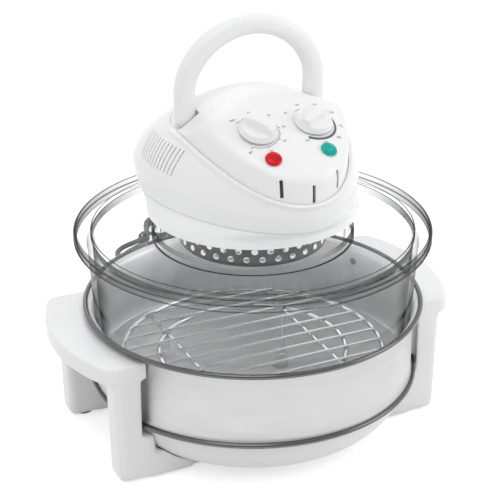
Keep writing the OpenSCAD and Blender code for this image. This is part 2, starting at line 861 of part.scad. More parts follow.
module thermostat_shaft() {
  color("silver") at_knob(1) dial_shaft();
}

module knob() {
  skirt_h = 7;
  grip_h = 16;
  translate([0, 0, 1.6]) difference() {
    union() {
      cylinder(d1 = knob_d, d2 = knob_d - 3, h = skirt_h);
      intersection() {
        translate([0, 0, 0]) cylinder(d1 = knob_d - 1, d2 = knob_d - 9, h = grip_h);
        union() {
          translate([-knob_d / 2, -4.5, 0]) cube([knob_d, 9, grip_h - 4.5]);
          translate([-knob_d / 2, 0, grip_h - 4.5]) rotate([0, 90, 0])
            cylinder(d = 9, h = knob_d);
        }
      }
    }
    translate([0, 0, -1]) cylinder(d = stem_d, h = 12.5);
    translate([0, 0, -1]) difference() {
      cylinder(d = knob_d - 6, h = 5);
      translate([0, 0, -1]) cylinder(d = stem_d + 6, h = 7);
    }
  }
}

module timer_knob() {
  color("white") at_knob(-1) rotate(-52) knob();
}

module thermostat_knob() {
  color("white") at_knob(1) rotate(28) knob();
}

// Motor, fans and the shaft they share
module motor_stator() {
  half = 25;
  reach = 56;
  color("gray")
  difference() {
    translate([-half, -half, stator_z]) cube([half + reach, 2 * half, stator_h]);
    translate([half, -half + 8, stator_z - 1]) cube([reach - half - 8, 2 * half - 16, stator_h + 2]);
    translate([0, 0, stator_z - 1]) cylinder(d = 26, h = stator_h + 2);
    for (y = [-bolt_y, bolt_y])
      translate([0, y, stator_z - 1]) cylinder(d = 4.2, h = stator_h + 2);
  }
}

module motor_coil() {
  color("darkgoldenrod")
  translate([52, 0, stator_z + stator_h / 2]) rotate([90, 0, 0])
  difference() {
    cylinder(d = 30, h = 33, center = true);
    cube([8.6, stator_h + 0.6, 40], center = true);
  }
}

module motor_brackets() {
  color("silver")
  for (z = [stator_z - 10, stator_z + stator_h + 8])
    difference() {
      translate([-8, -27, z]) cube([16, 54, 2]);
      translate([0, 0, z - 1]) cylinder(d = shaft_d + 2 * run_gap, h = 4);
      for (y = [-bolt_y, bolt_y]) translate([0, y, z - 1]) cylinder(d = 4.2, h = 4);
    }
}

module motor_bolts() {
  color("silver")
  for (y = [-bolt_y, bolt_y])
    translate([0, y, 0]) {
      translate([0, 0, pan_z + pan_t]) cylinder(d = 8, h = stator_z - 10 - pan_z - pan_t);
      translate([0, 0, pan_z + pan_t]) cylinder(d = 4, h = stator_z + stator_h + 12 - pan_z);
      translate([0, 0, stator_z - 8]) cylinder(d = 7, h = 8);
      translate([0, 0, stator_z + stator_h]) cylinder(d = 7, h = 8);
    }
}

fan_z = pan_z - 11;
module fan_shaft() {
  color("lightgray")
  translate([0, 0, fan_z - 17]) cylinder(d = shaft_d, h = cool_z + 11 - fan_z + 17);
}

module motor_rotor() {
  color("darkgray")
  difference() {
    translate([0, 0, stator_z + 1]) cylinder(d = 24, h = stator_h - 2);
    translate([0, 0, stator_z]) cylinder(d = shaft_d, h = stator_h);
  }
}

module convection_fan() {
  hub = 14;
  color("silver")
  difference() {
    union() {
      translate([0, 0, fan_z - 1]) cylinder(d = fan_d, h = 1);
      translate([0, 0, fan_z - 16]) cylinder(d = hub, h = 16);
      for (i = [0 : 7])
        rotate(i * 45) translate([hub / 2 - 1, -0.6, fan_z - 14])
          cube([fan_d / 2 - hub / 2, 1.2, 13.5]);
    }
    translate([0, 0, fan_z - 17]) cylinder(d = shaft_d, h = 20);
  }
}

module cooling_fan() {
  r = 34;
  color("lightgray")
  difference() {
    union() {
      translate([0, 0, cool_z]) cylinder(d = 14, h = 10);
      for (i = [0 : 5])
        rotate(i * 60) translate([5, 0, cool_z + 5]) rotate([35, 0, 0])
          translate([0, -7, -0.6]) cube([r - 5, 14, 1.2]);
    }
    translate([0, 0, cool_z - 1]) cylinder(d = shaft_d, h = 12);
  }
}

module terminal_block() {
  color("ivory")
  difference() {
    translate([-20, 66, pan_z + pan_t]) cube([40, 15, 13]);
    for (i = [-1 : 1])
      translate([i * 12, 65, pan_z + pan_t + 6]) rotate([-90, 0, 0]) cylinder(d = 3.4, h = 20);
  }
}

module safety_switch() {
  color("black")
  translate([bar_x - bar_d / 2 - 11 - 7.6, pivot_y - 12, pivot_z - 12]) cube([7.6, 24, 15]);
}

// Carry handle: one bar bent through three arcs, with an eye at each foot
function arc_points(x, z, r, from, to, n) =
  [for (i = [0 : n]) let (a = from + (to - from) * i / n) [x + r * cos(a), 0, z + r * sin(a)]];
half_bar = concat([[bar_x, 0, 0], [bar_x, 0, bar_leg * 0.6]],
  arc_points(corner_x, bar_leg, bar_corner, 0, 90 - crown_turn, 5),
  [for (i = [1 : 6]) let (a = 90 - crown_turn * (1 - i / 6))
    [crown_r * cos(a), 0, bar_rise - crown_r + crown_r * sin(a)]]);
bar_line = concat(half_bar, [for (i = [len(half_bar) - 2 : -1 : 0])
  [-half_bar[i][0], 0, half_bar[i][2]]]);

module carry_handle() {
  color("white")
  difference() {
    translate([0, pivot_y, pivot_z]) union() {
      tube(bar_line, bar_d, 20);
      for (side = [-1, 1])
        translate([side * bar_x, 0, 0])
          rotate([0, 90, 0]) cylinder(d = bar_d - 0.2, h = bar_d - 0.4, center = true);
    }
    for (side = [-1, 1])
      translate([side * (bar_x - bar_d / 2 - 1), pivot_y, pivot_z])
        rotate([0, side * 90, 0]) cylinder(d = pin_d + 2 * run_gap, h = bar_d - 3);
  }
}

module handle_pins() {
  color("silver")
  for (side = [-1, 1])
    translate([side * (bar_x - bar_d / 2 - 9), pivot_y, pivot_z])
      rotate([0, side * 90, 0]) cylinder(d = pin_d, h = 9 + bar_d - 4.5);
}

// Mains cord
module cord_gland() {
  color("dimgray")
  translate([0, gland_y - gland_l, gland_z]) rotate([-90, 0, 0])
  difference() {
    union() {
      cylinder(d1 = 13, d2 = cord_d + 2, h = gland_l);
      translate([0, 0, -0.6]) cylinder(d = 17, h = 3);
      translate([0, 0, -7]) cylinder(d = 10, h = 8);
    }
    translate([0, 0, -8]) cylinder(d = cord_d - 1, h = gland_l + 9);
  }
}

function hank_place(v) = [
  hank_mid[0] + v[0] * cos(hank_turn) - v[1] * sin(hank_turn),
  hank_mid[1] + v[0] * sin(hank_turn) + v[1] * cos(hank_turn),
  v[2]
];
function waist(x) = 1 - (1 - hank_waist) * pow(cos(90 * x / (hank_run / 2)), 2);
function hank_r(k) =
  hank_out - (hank_out - hank_in) * (k < hank_loops / 2 ? k : hank_loops - k) / (hank_loops / 2);
function hank_at(k) =
  let (u = k - floor(k), r = hank_r(k), half = hank_run / 2)
  let (climb = ease((k - hank_loops / 2 + 0.25) * 4))
  let (z = cord_z + lift + layer * climb)
  u < 0.25 ? let (x = -half + hank_run * u * 4) [x, -r * waist(x), z] :
  u < 0.5 ? let (a = -90 + 720 * (u - 0.25)) [half + r * cos(a), r * sin(a), z] :
  u < 0.75 ? let (x = half - hank_run * (u - 0.5) * 4) [x, r * waist(x), z] :
  let (a = 90 + 720 * (u - 0.75)) [-half + r * cos(a), r * sin(a), z];
hank_line = [for (i = [0 : hank_end_share * loop_rings]) hank_place(hank_at(i / loop_rings))];
hank_start = hank_line[0];
hank_end = hank_line[len(hank_line) - 1];
hank_way = [cos(hank_turn), sin(hank_turn), 0];
function self_gap(p, skip) = min([for (i = [0 : len(p) - 1 - skip], j = [i + skip : len(p) - 1])
  norm(p[i] - p[j])]) - cord_d;
echo(least_gap_of_the_hank = self_gap(hank_line, 5));  // cord_hank

module cord_lead() {
  route = concat(lead_route, [hank_start - 16 * hank_way, hank_start - cord_d * hank_way,
    hank_start]);
  color("dimgray") tube(curve(route, 3), cord_d, 8);
}

module cord_hank() {
  color("dimgray") tube(hank_line, cord_d, 6);
}

module cord_tail() {
  last = hank_line[len(hank_line) - 2];
  out = unit(hank_end - last);
  route = [hank_end, hank_end + cord_d * out, [23.5, 349.5, 11.3], [39, 336, 11.4],
    [59, 326, 10], [75, 321.6, 7.6], tail_end - [cord_d, 0, 0], tail_end];
  color("dimgray") tube(curve(route, 3), cord_d, 8);
}

module cord_tie() {
  half = hank_out * hank_waist + cord_d / 2 + 1.2;
  top = cord_d + layer + lift + 1.6;
  color("black")
  translate([hank_mid[0], hank_mid[1], 0]) rotate(hank_turn)
  difference() {
    translate([-4, -half - 1.2, 0]) cube([8, 2 * half + 2.4, top + 1.2]);
    translate([-5, -half, 1.2]) cube([10, 2 * half, top - 1.2]);
  }
}

module at_plug() {
  translate(tail_end) children();
}

module plug() {
  color("dimgray")
  at_plug() {
    rotate([0, 90, 0]) cylinder(d1 = cord_d + 1.4, d2 = 11, h = 12);
    translate([12 - eps, -12, -7]) cube([22, 24, 14]);
  }
}

module plug_pins() {
  color("silver")
  at_plug()
    for (y = [-7, 7])
      translate([34, y, 0]) rotate([0, 90, 0]) cylinder(d = 4, h = 17);
}

side_frame_left();
side_frame_right();
front_strap();
rear_strap();
base_dish();
steel_band();
band_screws();
strap_screws();
rubber_feet();
bowl_pads();
glass_bowl();
wire_rack();
rack_wires();
glass_lid();
neck_ring();
neck_seal();
reflector_pan();
lamp_guard();
guard_screws();
halogen_lamp();
lamp_clips();
upper_housing();
housing_screws();
control_panel();
red_lens();
green_lens();
pilot_lamps();
timer_body();
thermostat_body();
timer_shaft();
thermostat_shaft();
timer_knob();
thermostat_knob();
motor_stator();
motor_coil();
motor_brackets();
motor_bolts();
fan_shaft();
motor_rotor();
convection_fan();
cooling_fan();
terminal_block();
safety_switch();
carry_handle();
handle_pins();
cord_gland();
cord_lead();
cord_hank();
cord_tail();
cord_tie();
plug();
plug_pins();
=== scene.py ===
"""Halogen oven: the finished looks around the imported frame, laid out as a Blender add-on.

Shapes are worked out in millimetres, as in the part's source, and made in metres.
"""

import math

import bmesh
import bpy
from mathutils import Matrix, Vector


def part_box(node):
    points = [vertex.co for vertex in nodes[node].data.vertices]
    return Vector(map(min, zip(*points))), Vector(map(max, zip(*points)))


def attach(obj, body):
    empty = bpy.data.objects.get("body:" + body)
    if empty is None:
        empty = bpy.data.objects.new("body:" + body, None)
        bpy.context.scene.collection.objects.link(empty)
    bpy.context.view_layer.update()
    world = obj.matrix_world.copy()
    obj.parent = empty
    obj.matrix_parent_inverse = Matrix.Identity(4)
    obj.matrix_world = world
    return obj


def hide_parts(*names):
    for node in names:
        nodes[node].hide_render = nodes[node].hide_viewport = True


bl_info = {
    "name": "Halogen oven",
    "version": (1, 0, 0),
    "blender": (4, 5, 0),
    "location": "3D View > Sidebar > Oven",
    "description": "Builds the finished pieces of a halogen oven around its frame",
    "category": "Object",
}

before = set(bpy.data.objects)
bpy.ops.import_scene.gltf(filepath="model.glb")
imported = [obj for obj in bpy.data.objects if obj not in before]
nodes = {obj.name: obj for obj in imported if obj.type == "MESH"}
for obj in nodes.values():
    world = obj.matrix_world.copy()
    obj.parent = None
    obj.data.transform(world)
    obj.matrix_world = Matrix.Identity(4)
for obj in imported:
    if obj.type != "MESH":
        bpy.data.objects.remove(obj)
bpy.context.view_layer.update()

MM = 0.001
TAU = 2 * math.pi
WHITE = (1, 1, 1, 1)


def cad_mm(node):
    """Lowest and highest corner of a CAD node, in millimetres."""
    return [[v / MM for v in corner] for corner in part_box(node)]


# Bowl, lid and rack, in millimetres; the first sizes come from the frame
BOWL_FOOT, RIM_Z = (corner[2] for corner in cad_mm("glass_bowl"))
RIM_R, _, NECK_TOP = cad_mm("glass_lid")[1]
RIM_T = 6.0
RIM_W = 11.0
GLASS_T = 5.0
LID_TOP = RIM_Z + RIM_T
NECK_R = 93.0
LIP_R = NECK_R + 4
BOWL_R = RIM_R - RIM_W - 1.5
BOWL_ROUND = 50.0
DRAFT = math.radians(3.3)
BRIM_DIP = 6.0
RACK_R = RIM_R * 0.7531
RACK_LEG_R = RIM_R * 0.5397
RACK_UP = 60.0
RACK_WIRE = 5.0

# The head's shell
SEAM_Z = LID_TOP + 37.5
WALL_H = 22.0
WALL_TOP = SEAM_Z + WALL_H
SHELL_T = 3.0
GAP = 0.3

# The head's egg-shaped plan: half width, half length, how much wider it is behind, middle, and
# the share of it that the seam has
EGG_A = 100.2
EGG_L = 124.0
EGG_K = 0.22
EGG_Y = -2.0
EGG_TAPER = 0.955

# Its dome: height, fullness, and how it falls towards the back
DOME_H = 79.0
DOME_N = 1.7
DOME_FALL = 0.13

# The control panel: half width, widest place, reach in front and behind, fullness of its edge,
# and its slope. LIGHT_Y and LIGHT_Z are where the signal lenses sit.
PANEL_W = 76.0
PANEL_MID = 5.0
PANEL_NOSE = EGG_Y - EGG_L + 1.2
PANEL_BACK = 62.0
PANEL_N = 6
PANEL_SLOPE = math.tan(math.radians(22))
LIGHT_Y = -98.5
LIGHT_Z = SEAM_Z + 69
KNOB_X = 27.2
KNOB_Y = LIGHT_Y + 33.5 * math.cos(math.radians(22))
KNOB_R = 17.6
KNOB_SLOPE = 24.5
LENS_X = 27.0
LENS_R = 7.5
LENS_SLOPE = 31

# The vents of one side: the first one's place from the seam up, its size, its lean in degrees,
# and how much more each next one is turned than the one before it
VENT_AT = (-92, -24, WALL_H + 23.5)
VENT_SIZE = (34, 1.6, 23)
VENT_LEAN = 4
VENT_FAN = -0.28

# The panel's slots: x, y, height from the seam up, and how far in stand the dark plates behind
# them, which are painted shade
PANEL_SLOTS = ((-27.8, -116.8, 44.3, 4.3), (0, -123.8, 38, 2.8), (27.8, -116.8, 44.3, 4.3))
SLOT_LEAN = -9

# Carry handle: its pivot, its bar, its rise above the pivot, and how far it folds back
PIVOT_Y = 7.0
PIVOT_Z = SEAM_Z + 76
BAR_R = 9.75
BAR_X = 65.2
BAR_RISE = 79.3
BAR_CORNER = 50.0
BAR_LEG = BAR_RISE - BAR_CORNER - 8.3
FOLD = math.radians(75)

# Steel band with its two beads, and the base dish
BAND_R = 155.0
BAND_T = 0.8
BAND_LOW = 57.3
BAND_TOP = 130.6
BEAD_T = 5.0
TOP_BEAD_R = 164.2
LOW_BEAD_R = 159.9
DISH_FLOOR = 8.0
DISH_R = 151.9
DISH_ROUND = 52.0
DISH_T = 1.5

# Side frames: how far the stand reaches, the handle's bow, the legs, the stubs under the dish,
# and the room for the straps
STAND_FRONT = -67.0
STAND_REAR = 92.0
HANDLE_R = 198.5
HANDLE_TOP = 124.0
HANDLE_T = 17.5
HANDLE_MID = (34.0, 12.0)
HANDLE_CORNER = 14.0
FRAME_FRONT = STAND_FRONT - 3.5
FRAME_REAR = STAND_REAR + 3
FRAME_IN = BAND_R + 0.5
LEG_SPANS = ((FRAME_FRONT, -41.0), (65.5, 92.0))
LEG_IN = 131.0
LEG_OUT = 168.0
LEG_LEAN = math.tan(math.radians(1.5))
LEG_ROUND = 6.5
STUB_IN = 94.0
STUB_OUT = 141.0
STUB_TOP = 27.0
FOOT_T = 1.5
STRAP_IN = 80.0
STRAP_OUT = 137.5
STRAP_TOP = 8.2
STRAP_W = 22.4
STRAP_INSET = 1.8

# Mains cord and its gland, which stands on the housing where its wall swells behind
CORD_D = 6.0
GLAND_L = 30.0
GLAND_UP = 12.0
GLAND_Z = SEAM_Z + GLAND_UP
GLAND_SWELL = math.sin(math.radians(90 * GLAND_UP / WALL_H))
GLAND_Y = EGG_Y + EGG_L * (EGG_TAPER + (1 - EGG_TAPER) * GLAND_SWELL) + GLAND_L


# ---------------------------------------------------------------- plain mathematics
def ease(u):
    """A smooth step from 0 to 1."""
    v = max(0.0, min(1.0, u))
    return v * v * (3 - 2 * v)


def polar(r, a):
    """A point at a radius and an angle."""
    return r * math.cos(a), r * math.sin(a)


def circle(r, z, steps):
    """A level ring of points round the Z axis."""
    return [(*polar(r, TAU * i / steps), z) for i in range(steps)]


def squarish(a, power):
    """A point of the unit circle pushed towards a square; a power of 1 leaves it round."""
    c, s = math.cos(a), math.sin(a)
    return math.copysign(abs(c) ** power, c), math.copysign(abs(s) ** power, s)


def egg(t, s, wall):
    """A point of the head's plan at the angle t, s of the way out and a wall further in."""
    x = (EGG_A - wall) * s * math.cos(t) * (1 + EGG_K * s * math.sin(t))
    return x, EGG_Y + (EGG_L - wall) * s * math.sin(t)


def egg_share(x, y, wall):
    """How far out of the egg's plan a point lies: 0 in the middle, 1 on its outline."""
    q = (y - EGG_Y) / (EGG_L - wall)
    c = x / ((EGG_A - wall) * (1 + EGG_K * q))
    return min(1.0, math.hypot(c, q))


def dome_z(x, y, wall=0.0):
    """Height of the dome above a point."""
    high = DOME_H - wall - DOME_FALL * max(0.0, y)
    return WALL_TOP + high * (1 - egg_share(x, y, wall) ** DOME_N) ** (1 / DOME_N)


def panel_edge(t, s, wall=0.0):
    """A point of the panel's plan at the angle t, s of the way out and a wall further in."""
    reach = (PANEL_MID - PANEL_NOSE) if math.sin(t) < 0 else PANEL_BACK
    return (PANEL_W - wall) * s * math.cos(t), PANEL_MID + s * math.sin(t) * (reach - wall)


def panel_z(t, s, wall=0.0):
    """Height of the panel: its sloping face in front, which runs into the dome behind."""
    x, y = panel_edge(t, s, wall)
    foot = dome_z(*panel_edge(t, 1))
    face = LIGHT_Z + (y - LIGHT_Y) * PANEL_SLOPE
    face = foot + (face - foot) * (1 - s ** PANEL_N) ** (1 / PANEL_N)
    front = ease((-5 - y) / 45)
    return face * front + dome_z(x, y) * (1 - front)


def face_z(x, y):
    """Height of the panel's face above a point."""
    reach = (PANEL_MID - PANEL_NOSE) if y < PANEL_MID else PANEL_BACK
    v = (y - PANEL_MID) / reach
    return panel_z(math.atan2(v, x / PANEL_W), min(1.0, math.hypot(v, x / PANEL_W)))


# ---------------------------------------------------------------- meshes
def link_new(name, data):
    obj = bpy.data.objects.new(name, data)
    bpy.context.scene.collection.objects.link(obj)
    return obj


def new_object(name, verts, faces, scale=MM):
    mesh = bpy.data.meshes.new(name)
    mesh.from_pydata([[c * scale for c in v] for v in verts], [], faces)
    return link_new(name, mesh)


def settle(obj, angle=38.0, merge=2e-6):
    """Merges doubles, points the faces outwards, and smooths all but the sharp edges."""
    bm = bmesh.new()
    bm.from_mesh(obj.data)
    bmesh.ops.remove_doubles(bm, verts=bm.verts, dist=merge)
    bmesh.ops.dissolve_degenerate(bm, edges=bm.edges, dist=1e-7)
    bmesh.ops.recalc_face_normals(bm, faces=bm.faces)
    limit = math.radians(angle)
    for f in bm.faces:
        f.smooth = True
    for e in bm.edges:
        e.smooth = len(e.link_faces) == 2 and e.calc_face_angle(0.0) < limit
    bm.to_mesh(obj.data)
    bm.free()
    return obj


def modified(obj, kind, **values):
    """Adds a modifier, which bake() applies."""
    mod = obj.modifiers.new(kind.lower(), kind)
    for key, value in values.items():
        setattr(mod, key, value)
    return mod


def bake(obj):
    """Turns the evaluated object into a plain mesh without modifiers."""
    bpy.context.view_layer.update()
    graph = bpy.context.evaluated_depsgraph_get()
    mesh = bpy.data.meshes.new_from_object(obj.evaluated_get(graph), depsgraph=graph)
    if obj.type == "MESH":
        old = obj.data
        obj.modifiers.clear()
        obj.data = mesh
        bpy.data.meshes.remove(old)
        return obj
    name = obj.name
    drop(obj)
    return link_new(name, mesh)


def drop(*objects):
    """Takes objects out of the file."""
    for obj in objects:
        bpy.data.objects.remove(obj)


def combine(obj, other, operation):
    """Boolean with another closed mesh, which is used up."""
    modified(obj, "BOOLEAN", operation=operation, solver="EXACT", object=other)
    bake(obj)
    drop(other)
    return obj


def cut(obj, profile):
    """Takes a revolved outline away."""
    combine(obj, revolved("cut", profile, 128), "DIFFERENCE")


def joined(name, *objects):
    """One mesh of several, which are used up."""
    verts, faces = [], []
    for obj in objects:
        start = len(verts)
        verts += [tuple(v.co) for v in obj.data.vertices]
        faces += [[start + i for i in p.vertices] for p in obj.data.polygons]
    drop(*objects)
    return new_object(name, verts, faces, 1.0)


def bevelled(obj, width, segments=3, angle=35.0):
    modified(obj, "BEVEL", width=width * MM, segments=segments, limit_method="ANGLE",
             angle_limit=math.radians(angle))
    return bake(obj)


def ring_skin(name, rings, closed=True, caps=(None, None)):
    """A skin over rings of points, joined end to end, or closed with a fan at each end."""
    n = len(rings[0])
    verts = [p for ring in rings for p in ring]
    faces = []
    for i in range(len(rings) if closed else len(rings) - 1):
        k = (i + 1) % len(rings)
        for j in range(n):
            m = (j + 1) % n
            faces.append([i * n + j, i * n + m, k * n + m, k * n + j])
    for cap, ring in zip(caps, (0, len(rings) - 1)):
        if cap is not None:
            verts.append(cap)
            faces += [[len(verts) - 1, ring * n + (j + 1) % n, ring * n + j] for j in range(n)]
    return new_object(name, verts, faces)


def revolved(name, profile, steps=160):
    """A closed outline of (radius, height) points turned about Z; points on the axis merge."""
    return settle(ring_skin(name, [circle(r, z, steps) for r, z in profile]))


def arc(cx, cz, r, start, end, count):
    """Points on an arc, angles in degrees."""
    angles = [math.radians(start + (end - start) * i / count) for i in range(count + 1)]
    return [(cx + x, cz + z) for x, z in (polar(r, a) for a in angles)]


def swept(name, path, section, caps=True, up=(0, 0, 1)):
    """A section of (across, along) points for each place of a path, square to the path."""
    pts = [Vector(p) for p in path]
    rings = []
    side = None
    for i, p in enumerate(pts):
        ahead = (pts[min(i + 1, len(pts) - 1)] - pts[max(i - 1, 0)]).normalized()
        if side is None:
            start = Vector(up) if abs(ahead.dot(Vector(up))) < 0.9 else Vector((1, 0, 0))
            side = (start - ahead * start.dot(ahead)).normalized()
        side = (side - ahead * side.dot(ahead)).normalized()
        other = ahead.cross(side)
        rings.append([tuple(p + side * a + other * b) for a, b in section(i)])
    ends = (tuple(pts[0]), tuple(pts[-1])) if caps else (None, None)
    return settle(ring_skin(name, rings, closed=False, caps=ends))


def circle_section(r, sides=24):
    """A round section for swept()."""
    points = [polar(r, TAU * k / sides) for k in range(sides)]
    return lambda i: points


def boxed(name, low, high):
    verts = [(x, y, z) for x in (low[0], high[0]) for y in (low[1], high[1])
             for z in (low[2], high[2])]
    faces = [[0, 1, 3, 2], [4, 6, 7, 5], [0, 4, 5, 1], [2, 3, 7, 6], [0, 2, 6, 4], [1, 5, 7, 3]]
    return settle(new_object(name, verts, faces), 30)


def extruded(name, outline, low, high, place):
    """A flat outline of (a, b) points pulled from low to high; place makes (a, b, c) a point."""
    n = len(outline)
    verts = [place(a, b, low) for a, b in outline] + [place(a, b, high) for a, b in outline]
    faces = [list(range(n)), list(range(2 * n - 1, n - 1, -1))]
    faces += [[j, (j + 1) % n, n + (j + 1) % n, n + j] for j in range(n)]
    return settle(new_object(name, verts, faces), 30)


def moved(obj, *steps):
    """Moves a mesh; the last step is taken first."""
    matrix = Matrix.Identity(4)
    for step in steps:
        matrix = matrix @ step
    obj.data.transform(matrix)
    return obj


def to_place(x, y, z):
    """A step in millimetres."""
    return Matrix.Translation((x * MM, y * MM, z * MM))


def turned(degrees, axis):
    """A turn in degrees."""
    return Matrix.Rotation(math.radians(degrees), 4, axis)


def mirrored(obj, name):
    """A copy on the other side of the plane x = 0."""
    mesh = obj.data.copy()
    mesh.transform(Matrix.Diagonal((-1, 1, 1, 1)))
    mesh.flip_normals()
    return link_new(name, mesh)


# ---------------------------------------------------------------- node trees
class Nodes:
    """A node tree under construction, with short ways to add, join and reckon."""

    def __init__(self, tree):
        self.tree = tree
        tree.nodes.clear()

    def add(self, kind, **values):
        node = self.tree.nodes.new(kind)
        for key, value in values.items():
            setattr(node, key, value)
        return node

    def link(self, a, b):
        self.tree.links.new(a, b)

    def put(self, socket, value):
        """Joins a socket to an output, or sets its value."""
        if isinstance(value, bpy.types.NodeSocket):
            self.link(value, socket)
        else:
            socket.default_value = value

    def number(self, operation, *values):
        node = self.add("ShaderNodeMath", operation=operation)
        for socket, value in zip(node.inputs, values):
            self.put(socket, value)
        return node.outputs[0]

    def vector(self, operation, *values):
        """Reckons with vectors; the factor of a scale comes second."""
        node = self.add("ShaderNodeVectorMath", operation=operation)
        scaled = operation == "SCALE"
        for socket, value in zip((node.inputs[0], node.inputs["Scale" if scaled else 1]), values):
            self.put(socket, value)
        return node.outputs["Value" if operation in ("LENGTH", "DOT_PRODUCT") else "Vector"]

    def split(self, vector):
        node = self.add("ShaderNodeSeparateXYZ")
        self.link(vector, node.inputs[0])
        return node.outputs

    def mix(self, factor, first, last):
        """Mixes two colours."""
        node = self.add("ShaderNodeMix", data_type="RGBA")
        for socket, value in ((0, factor), (6, first), (7, last)):
            self.put(node.inputs[socket], value)
        return node.outputs[2]

    def blend(self, factor, first, last):
        """Mixes two shaders."""
        node = self.add("ShaderNodeMixShader")
        for socket, value in zip(node.inputs, (factor, first, last)):
            self.link(value, socket)
        return node.outputs[0]

    def seen_rays(self):
        """1 for what the camera, gloss and clear glass see, and 0 for light on a matt surface."""
        ray = self.add("ShaderNodeLightPath").outputs
        direct = self.number("MAXIMUM", ray["Is Camera Ray"], ray["Is Glossy Ray"])
        return self.number("MAXIMUM", direct, ray["Is Transmission Ray"])


def copies_tree():
    """Copies of the object's own mesh: each one is moved and turned a step further."""
    tree = bpy.data.node_groups.new("Copies", "GeometryNodeTree")
    for name, kind in (("Geometry", "Geometry"), ("Count", "Int"), ("Step", "Vector"),
                       ("Turn", "Vector"), ("More Turn", "Vector"), ("Material", "Material")):
        tree.interface.new_socket(name, in_out="INPUT", socket_type="NodeSocket" + kind)
    tree.interface.new_socket("Geometry", in_out="OUTPUT", socket_type="NodeSocketGeometry")
    n = Nodes(tree)
    given = n.add("NodeGroupInput").outputs
    index = n.add("GeometryNodeInputIndex").outputs[0]
    line = n.add("GeometryNodeMeshLine")
    line.inputs["Offset"].default_value = (0, 0, 0)
    n.link(given["Count"], line.inputs["Count"])
    spaced = n.add("GeometryNodeSetPosition")
    n.link(line.outputs[0], spaced.inputs["Geometry"])
    n.link(n.vector("SCALE", given["Step"], index), spaced.inputs["Offset"])
    place = n.add("GeometryNodeInstanceOnPoints")
    n.link(spaced.outputs[0], place.inputs["Points"])
    n.link(given["Geometry"], place.inputs["Instance"])
    more = n.vector("SCALE", given["More Turn"], n.number("MULTIPLY", index, index))
    n.link(n.vector("ADD", n.vector("SCALE", given["Turn"], index), more), place.inputs["Rotation"])
    real = n.add("GeometryNodeRealizeInstances")
    n.link(place.outputs[0], real.inputs[0])
    paint = n.add("GeometryNodeSetMaterial")
    n.link(real.outputs[0], paint.inputs["Geometry"])
    n.link(given["Material"], paint.inputs["Material"])
    n.link(paint.outputs[0], n.add("NodeGroupOutput").inputs[0])
    return tree


def copied(obj, material, count, step=(0, 0, 0), turns=(0, 0, 0), more=(0, 0, 0)):
    """Repeats a mesh by geometry nodes and keeps the result as a plain mesh; turns in degrees."""
    tree = bpy.data.node_groups.get("Copies") or copies_tree()
    mod = modified(obj, "NODES", node_group=tree)
    sockets = {s.name: s.identifier for s in tree.interface.items_tree if s.in_out == "INPUT"}
    mod[sockets["Count"]] = count
    mod[sockets["Step"]] = [c * MM for c in step]
    mod[sockets["Turn"]] = [math.radians(c) for c in turns]
    mod[sockets["More Turn"]] = [math.radians(c) for c in more]
    mod[sockets["Material"]] = materials[material]
    return bake(obj)


# ---------------------------------------------------------------- materials
class Finish(Nodes):
    """A material under construction: a principled shader and short ways to feed it."""

    def __init__(self, name):
        self.material = bpy.data.materials.new(name)
        self.material.use_nodes = True
        super().__init__(self.material.node_tree)
        self.output = self.add("ShaderNodeOutputMaterial").inputs["Surface"]
        self.shader = self.add("ShaderNodeBsdfPrincipled")
        self.link(self.shader.outputs["BSDF"], self.output)
        self.coords = self.add("ShaderNodeTexCoord").outputs["Object"]

    def set(self, **values):
        for key, value in values.items():
            self.shader.inputs[key.replace("_", " ")].default_value = value

    def feed(self, socket, value):
        self.link(value, self.shader.inputs[socket])

    def noise(self, scale, detail=3.0, vector=None):
        node = self.add("ShaderNodeTexNoise")
        node.inputs["Scale"].default_value = scale
        node.inputs["Detail"].default_value = detail
        self.link(vector or self.coords, node.inputs["Vector"])
        return node.outputs["Fac"]

    def spread(self, value, low, high, first=0.0, last=1.0):
        """Brings a value from the range first to last into the range low to high."""
        node = self.add("ShaderNodeMapRange")
        for key, number in (("From Min", first), ("From Max", last), ("To Min", low),
                            ("To Max", high)):
            node.inputs[key].default_value = number
        self.link(value, node.inputs["Value"])
        return node.outputs["Result"]

    def clouded(self, pattern, dark, light):
        """A base colour that a pattern varies."""
        self.feed("Base Color", self.mix(self.spread(pattern, 0, 1, 0.3, 0.7), dark, light))

    def uneven(self, pattern, low, high, first=0.3, last=0.75):
        """A roughness that a pattern varies."""
        self.feed("Roughness", self.spread(pattern, low, high, first, last))

    def around(self, turns, up):
        """Coordinates that run round the Z axis: angle and height, scaled."""
        place = self.split(self.coords)
        angle = self.number("ARCTAN2", place["Y"], place["X"])
        gather = self.add("ShaderNodeCombineXYZ")
        self.link(self.number("MULTIPLY", angle, turns), gather.inputs["X"])
        self.link(self.number("MULTIPLY", place["Z"], up), gather.inputs["Z"])
        return gather.outputs[0]

    def outwards(self):
        """How far a face looks away from the Z axis and down; it is negative on inner faces."""
        way = self.vector("NORMALIZE", self.vector("MULTIPLY", self.coords, (1, 1, 0)))
        normal = self.add("ShaderNodeNewGeometry").outputs["Normal"]
        return self.vector("DOT_PRODUCT", self.vector("SUBTRACT", way, (0, 0, 1)), normal)

    def bump(self, height, distance, strength=1.0):
        node = self.add("ShaderNodeBump")
        node.inputs["Distance"].default_value = distance
        node.inputs["Strength"].default_value = strength
        self.link(height, node.inputs["Height"])
        self.feed("Normal", node.outputs["Normal"])


def tone(colour, factor):
    """A lighter or darker colour, with its alpha."""
    return (*(min(1, c * factor) for c in colour[:3]), 1)


